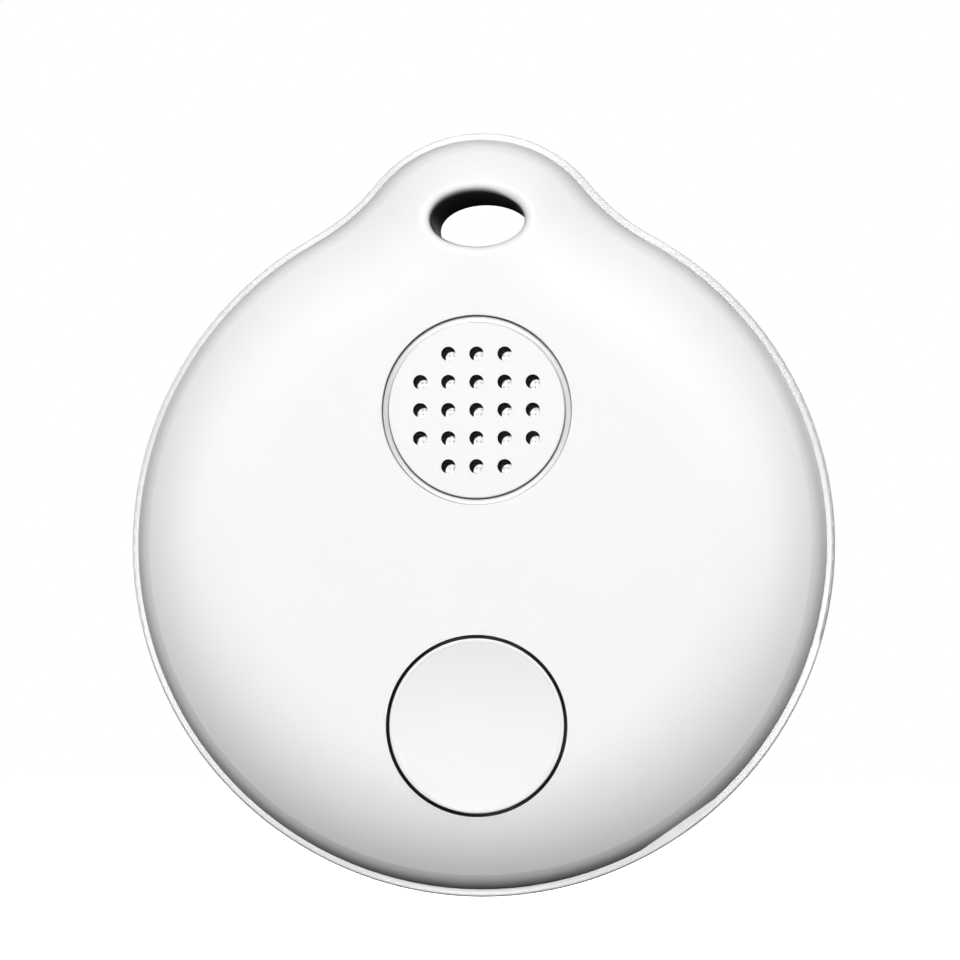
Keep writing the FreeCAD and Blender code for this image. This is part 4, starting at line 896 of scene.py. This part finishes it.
def makeScrew(spec):
    # a pan head with a cross recess, and a thread-forming shank, head towards +Y at the origin
    mesh = bmesh.new()
    top, edge = spec["headHeight"], spec["headRound"]
    tipRadius, tipLength = spec["tip"]
    profile = [(0, -spec["length"]), (tipRadius, -spec["length"]),
               (spec["shankRadius"], -spec["length"] + tipLength), (spec["shankRadius"], 0),
               (spec["headRadius"], 0), (spec["headRadius"], top - edge)]
    profile += [(spec["headRadius"] - edge + edge * math.cos(a), top - edge + edge * math.sin(a))
                for a in (math.radians(22.5 * i) for i in range(1, 5))]
    profile += [(0, top)]
    lathe(mesh, profile, 40)
    blank = closeMesh("screw_blank", mesh)

    mesh = bmesh.new()
    reach, width, depth = spec["recess"]
    for long, short in ((reach, width / 2), (width / 2, reach)):
        corners = []
        for height, shrink in ((top + 0.1, 1.0), (top - depth, spec["recessTaper"])):
            corners.append([mesh.verts.new((sx * long * mm * shrink, height * mm, sz * short * mm * shrink))
                            for sx, sz in ((-1, -1), (1, -1), (1, 1), (-1, 1))])
        upper, lower = corners
        mesh.faces.new(upper)
        mesh.faces.new(lower[::-1])
        joinRings(mesh, (lower, upper))

    blankObject = bpy.data.objects.new("screw_blank", blank)
    crossObject = bpy.data.objects.new("screw_cross", outwardMesh("screw_cross", mesh))
    for item in (blankObject, crossObject):
        bpy.context.collection.objects.link(item)
    cutter = blankObject.modifiers.new("recess", "BOOLEAN")
    cutter.operation = "DIFFERENCE"
    cutter.solver = "EXACT"
    cutter.use_self = True
    cutter.object = crossObject
    graph = bpy.context.evaluated_depsgraph_get()
    cutMesh = bpy.data.meshes.new_from_object(blankObject.evaluated_get(graph), depsgraph=graph)
    for item in (blankObject, crossObject):
        bpy.data.objects.remove(item)

    whole = bmesh.new()
    whole.from_mesh(cutMesh)
    turns = (spec["length"] - spec["threadFree"]) / spec["threadPitch"]
    steps = int(turns * spec["stepsPerTurn"])
    root, half, tipHalf = spec["shankRadius"] - spec["threadSink"], spec["threadHalf"], spec["crestHalf"]
    low = spec["shankRadius"] - tipHalf
    sides = []
    for i in range(steps + 1):
        angle = 2 * math.pi * turns * i / steps
        height = -spec["length"] + spec["threadStart"] + spec["threadPitch"] * turns * i / steps
        fade = min(1.0, i / spec["threadFade"][0], (steps - i) / spec["threadFade"][1])
        crest = low + (spec["threadRadius"] - low) * fade
        ring = []
        for radius, rise in ((root, -half), (crest, -tipHalf), (crest, tipHalf), (root, half)):
            ring.append(whole.verts.new((radius * mm * math.cos(angle), (height + rise) * mm,
                                         radius * mm * math.sin(angle))))
        sides.append(ring)
    joinRings(whole, sides)
    whole.faces.new(sides[0][::-1])
    whole.faces.new(sides[-1])
    return outwardMesh("screw", whole)


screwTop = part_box("tray_screws")[1][1]
screwPlaces = [aroundCell(screw["ring"], math.radians(angle), screwTop - screw["headHeight"] * mm)
               for angle in screw["angles"]]
screwMesh = copyOnto("screw_set", makeScrew(screw), screwPlaces,
                     rolledMetal("carbon steel zinc plated screw", "#B9BBBE", "#9FA2A6", 0.30, 0.08),
                     spin=2 * math.pi, seed=11)
addPiece("screw_set", screwMesh, "housing", "screw_steel", None, "tray_screws")

chips = {
    # mm; the places are across and up from the tag's centre
    "capacitor": {"size": (1.6, 0.8, 0.8), "places": ((10.6, -2), (10.6, -3.6), (-6.6, -1.8), (-6.6, -3.2),
                                                      (8, -6), (12.2, -6)), "end": 0.3},
    "resistor": {"size": (1.0, 0.35, 0.5), "places": ((7.4, -1), (7.4, -2), (7.4, -3), (-4, -0.9), (-4, -1.9),
                                                      (-4, -2.9)), "end": 0.2},
}
chipFinish = {
    "capacitor": speckled("barium titanate fired capacitor", "#B48A5C", "#A67C4F", 0.42, 0.10, 0.003),
    "resistor": speckled("thick film resistor glazed black", "#1B1C20", "#2A2B30", 0.30, 0.10, 0.002),
}
chipSlots = {"capacitor": ("capacitor_tan", "capacitors"), "resistor": ("chip_black", "resistors")}
tinFinish = finishes["solder_joints"]


def chipPlaces(spec, shift=0.0):
    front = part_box("circuit_board")[0][1]
    return [(cellCentre.x + (x + shift) * mm, front - spec["size"][1] / 2 * mm, cellCentre.z + z * mm)
            for x, z in spec["places"]]


for name, spec in chips.items():
    wide, tall, deep = spec["size"]
    middle = roundedBlock(name, (wide - 0.5 * spec["end"], tall - 0.05, deep - 0.05), 0.05)
    bodyMesh = copyOnto(name + "_bodies", middle, chipPlaces(spec), chipFinish[name])
    addPiece(name + "_bodies", bodyMesh, "housing", chipSlots[name][0], None, chipSlots[name][1])
    cap = roundedBlock(name + "_end", (spec["end"], tall, deep), 0.06, 3)
    ends = chipPlaces(spec, -(wide - spec["end"]) / 2) + chipPlaces(spec, (wide - spec["end"]) / 2)
    addPiece(name + "_ends", copyOnto(name + "_ends", cap, ends, tinFinish), "housing", "solder", None)

vias = {
    # mm
    "radius": 0.28,
    "bore": 0.14,
    "rise": 0.02,
    "rings": ((3.2, 9), (6.1, 14), (8.3, 17)),   # radius and count of each ring of vias
    "turn": 0.37,             # starts each ring at its own angle
    "contact": (3.2, 5.4),    # kept clear for the negative contact
}


def makeVia(spec):
    # a plated hole's annular ring
    mesh = bmesh.new()
    lathe(mesh, [(spec["bore"], 0.0), (spec["radius"], 0.0), (spec["radius"] - 0.02, spec["rise"]),
                 (spec["bore"] + 0.01, spec["rise"]), (spec["bore"], 0.0)], 16)
    return closeMesh("via", mesh)


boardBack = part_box("circuit_board")[1][1]
viaPlaces = []
for radius, count in vias["rings"]:
    for i in range(count):
        turn = 2 * math.pi * (i + vias["turn"] * radius) / count
        viaPlaces.append(aroundCell(radius, turn, boardBack))
contactFrom, contactTo = vias["contact"]
clearOfRing = [p for p in viaPlaces
               if not contactFrom < math.hypot(p[0] - cellCentre.x, p[2] - cellCentre.z) / mm < contactTo]
viaMesh = copyOnto("board_vias", makeVia(vias), clearOfRing,
                   rolledMetal("copper gold plated via", "#D8B45A", "#C7A24A", 0.25, 0.05))
addPiece("board_vias", viaMesh, "housing", "solder", None)

foam = {
    "corner": 0.286,          # mm in from the edge where the pinch starts
    "pinched": 0.55,          # share of its thickness left at the edge
    "crown": 0.05,            # share that the faces fall away towards the edge
    "pore": 0.35,             # mm
    "poreDepth": 0.012,
    "poreSink": 0.2,
    "rings": 26,
    "segments": 120,
}


def makeFoamPad(spec):
    # a die-cut disc of soft foam: its edge is pinched by the cut, and its faces crown slightly
    low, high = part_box("cell_pad")
    centre = (low + high) / 2
    reach = (high.x - low.x) / 2 / mm
    half = (high.y - low.y) / 2 / mm
    profile = []
    for side in (-1, 1):
        ringsOut = [i / spec["rings"] for i in range(spec["rings"] + 1)]
        for share in (ringsOut if side < 0 else ringsOut[::-1]):
            flat = min(1.0, (1 - share) * reach / spec["corner"])
            rounding = math.sqrt(max(0.0, 1 - (1 - flat) ** 2))
            swell = half * (spec["pinched"] + (1 - spec["pinched"]) * rounding)
            crown = 1 - spec["crown"] * share ** 2
            profile.append((share * reach, side * swell * crown))
    mesh = bmesh.new()
    lathe(mesh, profile, spec["segments"])
    for vertex in mesh.verts:
        bubble = noise.noise(vertex.co / (spec["pore"] * mm)) * spec["poreDepth"] * mm
        vertex.co.y += bubble * (1 if vertex.co.y > 0 else -1) - abs(bubble) * spec["poreSink"]
        vertex.co.y = max(-half * mm, min(half * mm, vertex.co.y))
    bmesh.ops.translate(mesh, vec=centre, verts=mesh.verts)
    return closeMesh("foam_pad", mesh)


foamFinish = speckled("polyurethane foam die cut grey", "#5C5F62", "#484B4E", 0.92, 0.09, 0.03, contrast=1.4)
foamPad = addPiece("foam_pad", makeFoamPad(foam), "cover", "foam_grey", foamFinish, "cell_pad")

plusMark = {"length": 3.4, "width": 0.55, "height": 0.03, "round": 0.012, "up": 5.2}   # mm


def makePlusMark(spec):
    # the raised plus sign on the can, two rounded bars in one shape
    mesh = bmesh.new()
    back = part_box("coin_cell_can")[1][1]
    for across, up in ((spec["length"], spec["width"]), (spec["width"], spec["length"])):
        size = (across, spec["height"], up)
        bar = bmesh.ops.create_cube(mesh, size=1.0)["verts"]
        bmesh.ops.scale(mesh, vec=[v * mm for v in size], verts=bar)
    bmesh.ops.bevel(mesh, geom=mesh.edges[:], offset=spec["round"] * mm, segments=2, affect="EDGES")
    place = (cellCentre.x, back + spec["height"] / 2 * mm, cellCentre.z + spec["up"] * mm)
    bmesh.ops.translate(mesh, vec=place, verts=mesh.verts)
    return closeMesh("cell_plus_mark", mesh, smooth=False)


addPiece("cell_plus_mark", makePlusMark(plusMark), "cell", "cell_steel", finishes["coin_cell_can"])

print("done")
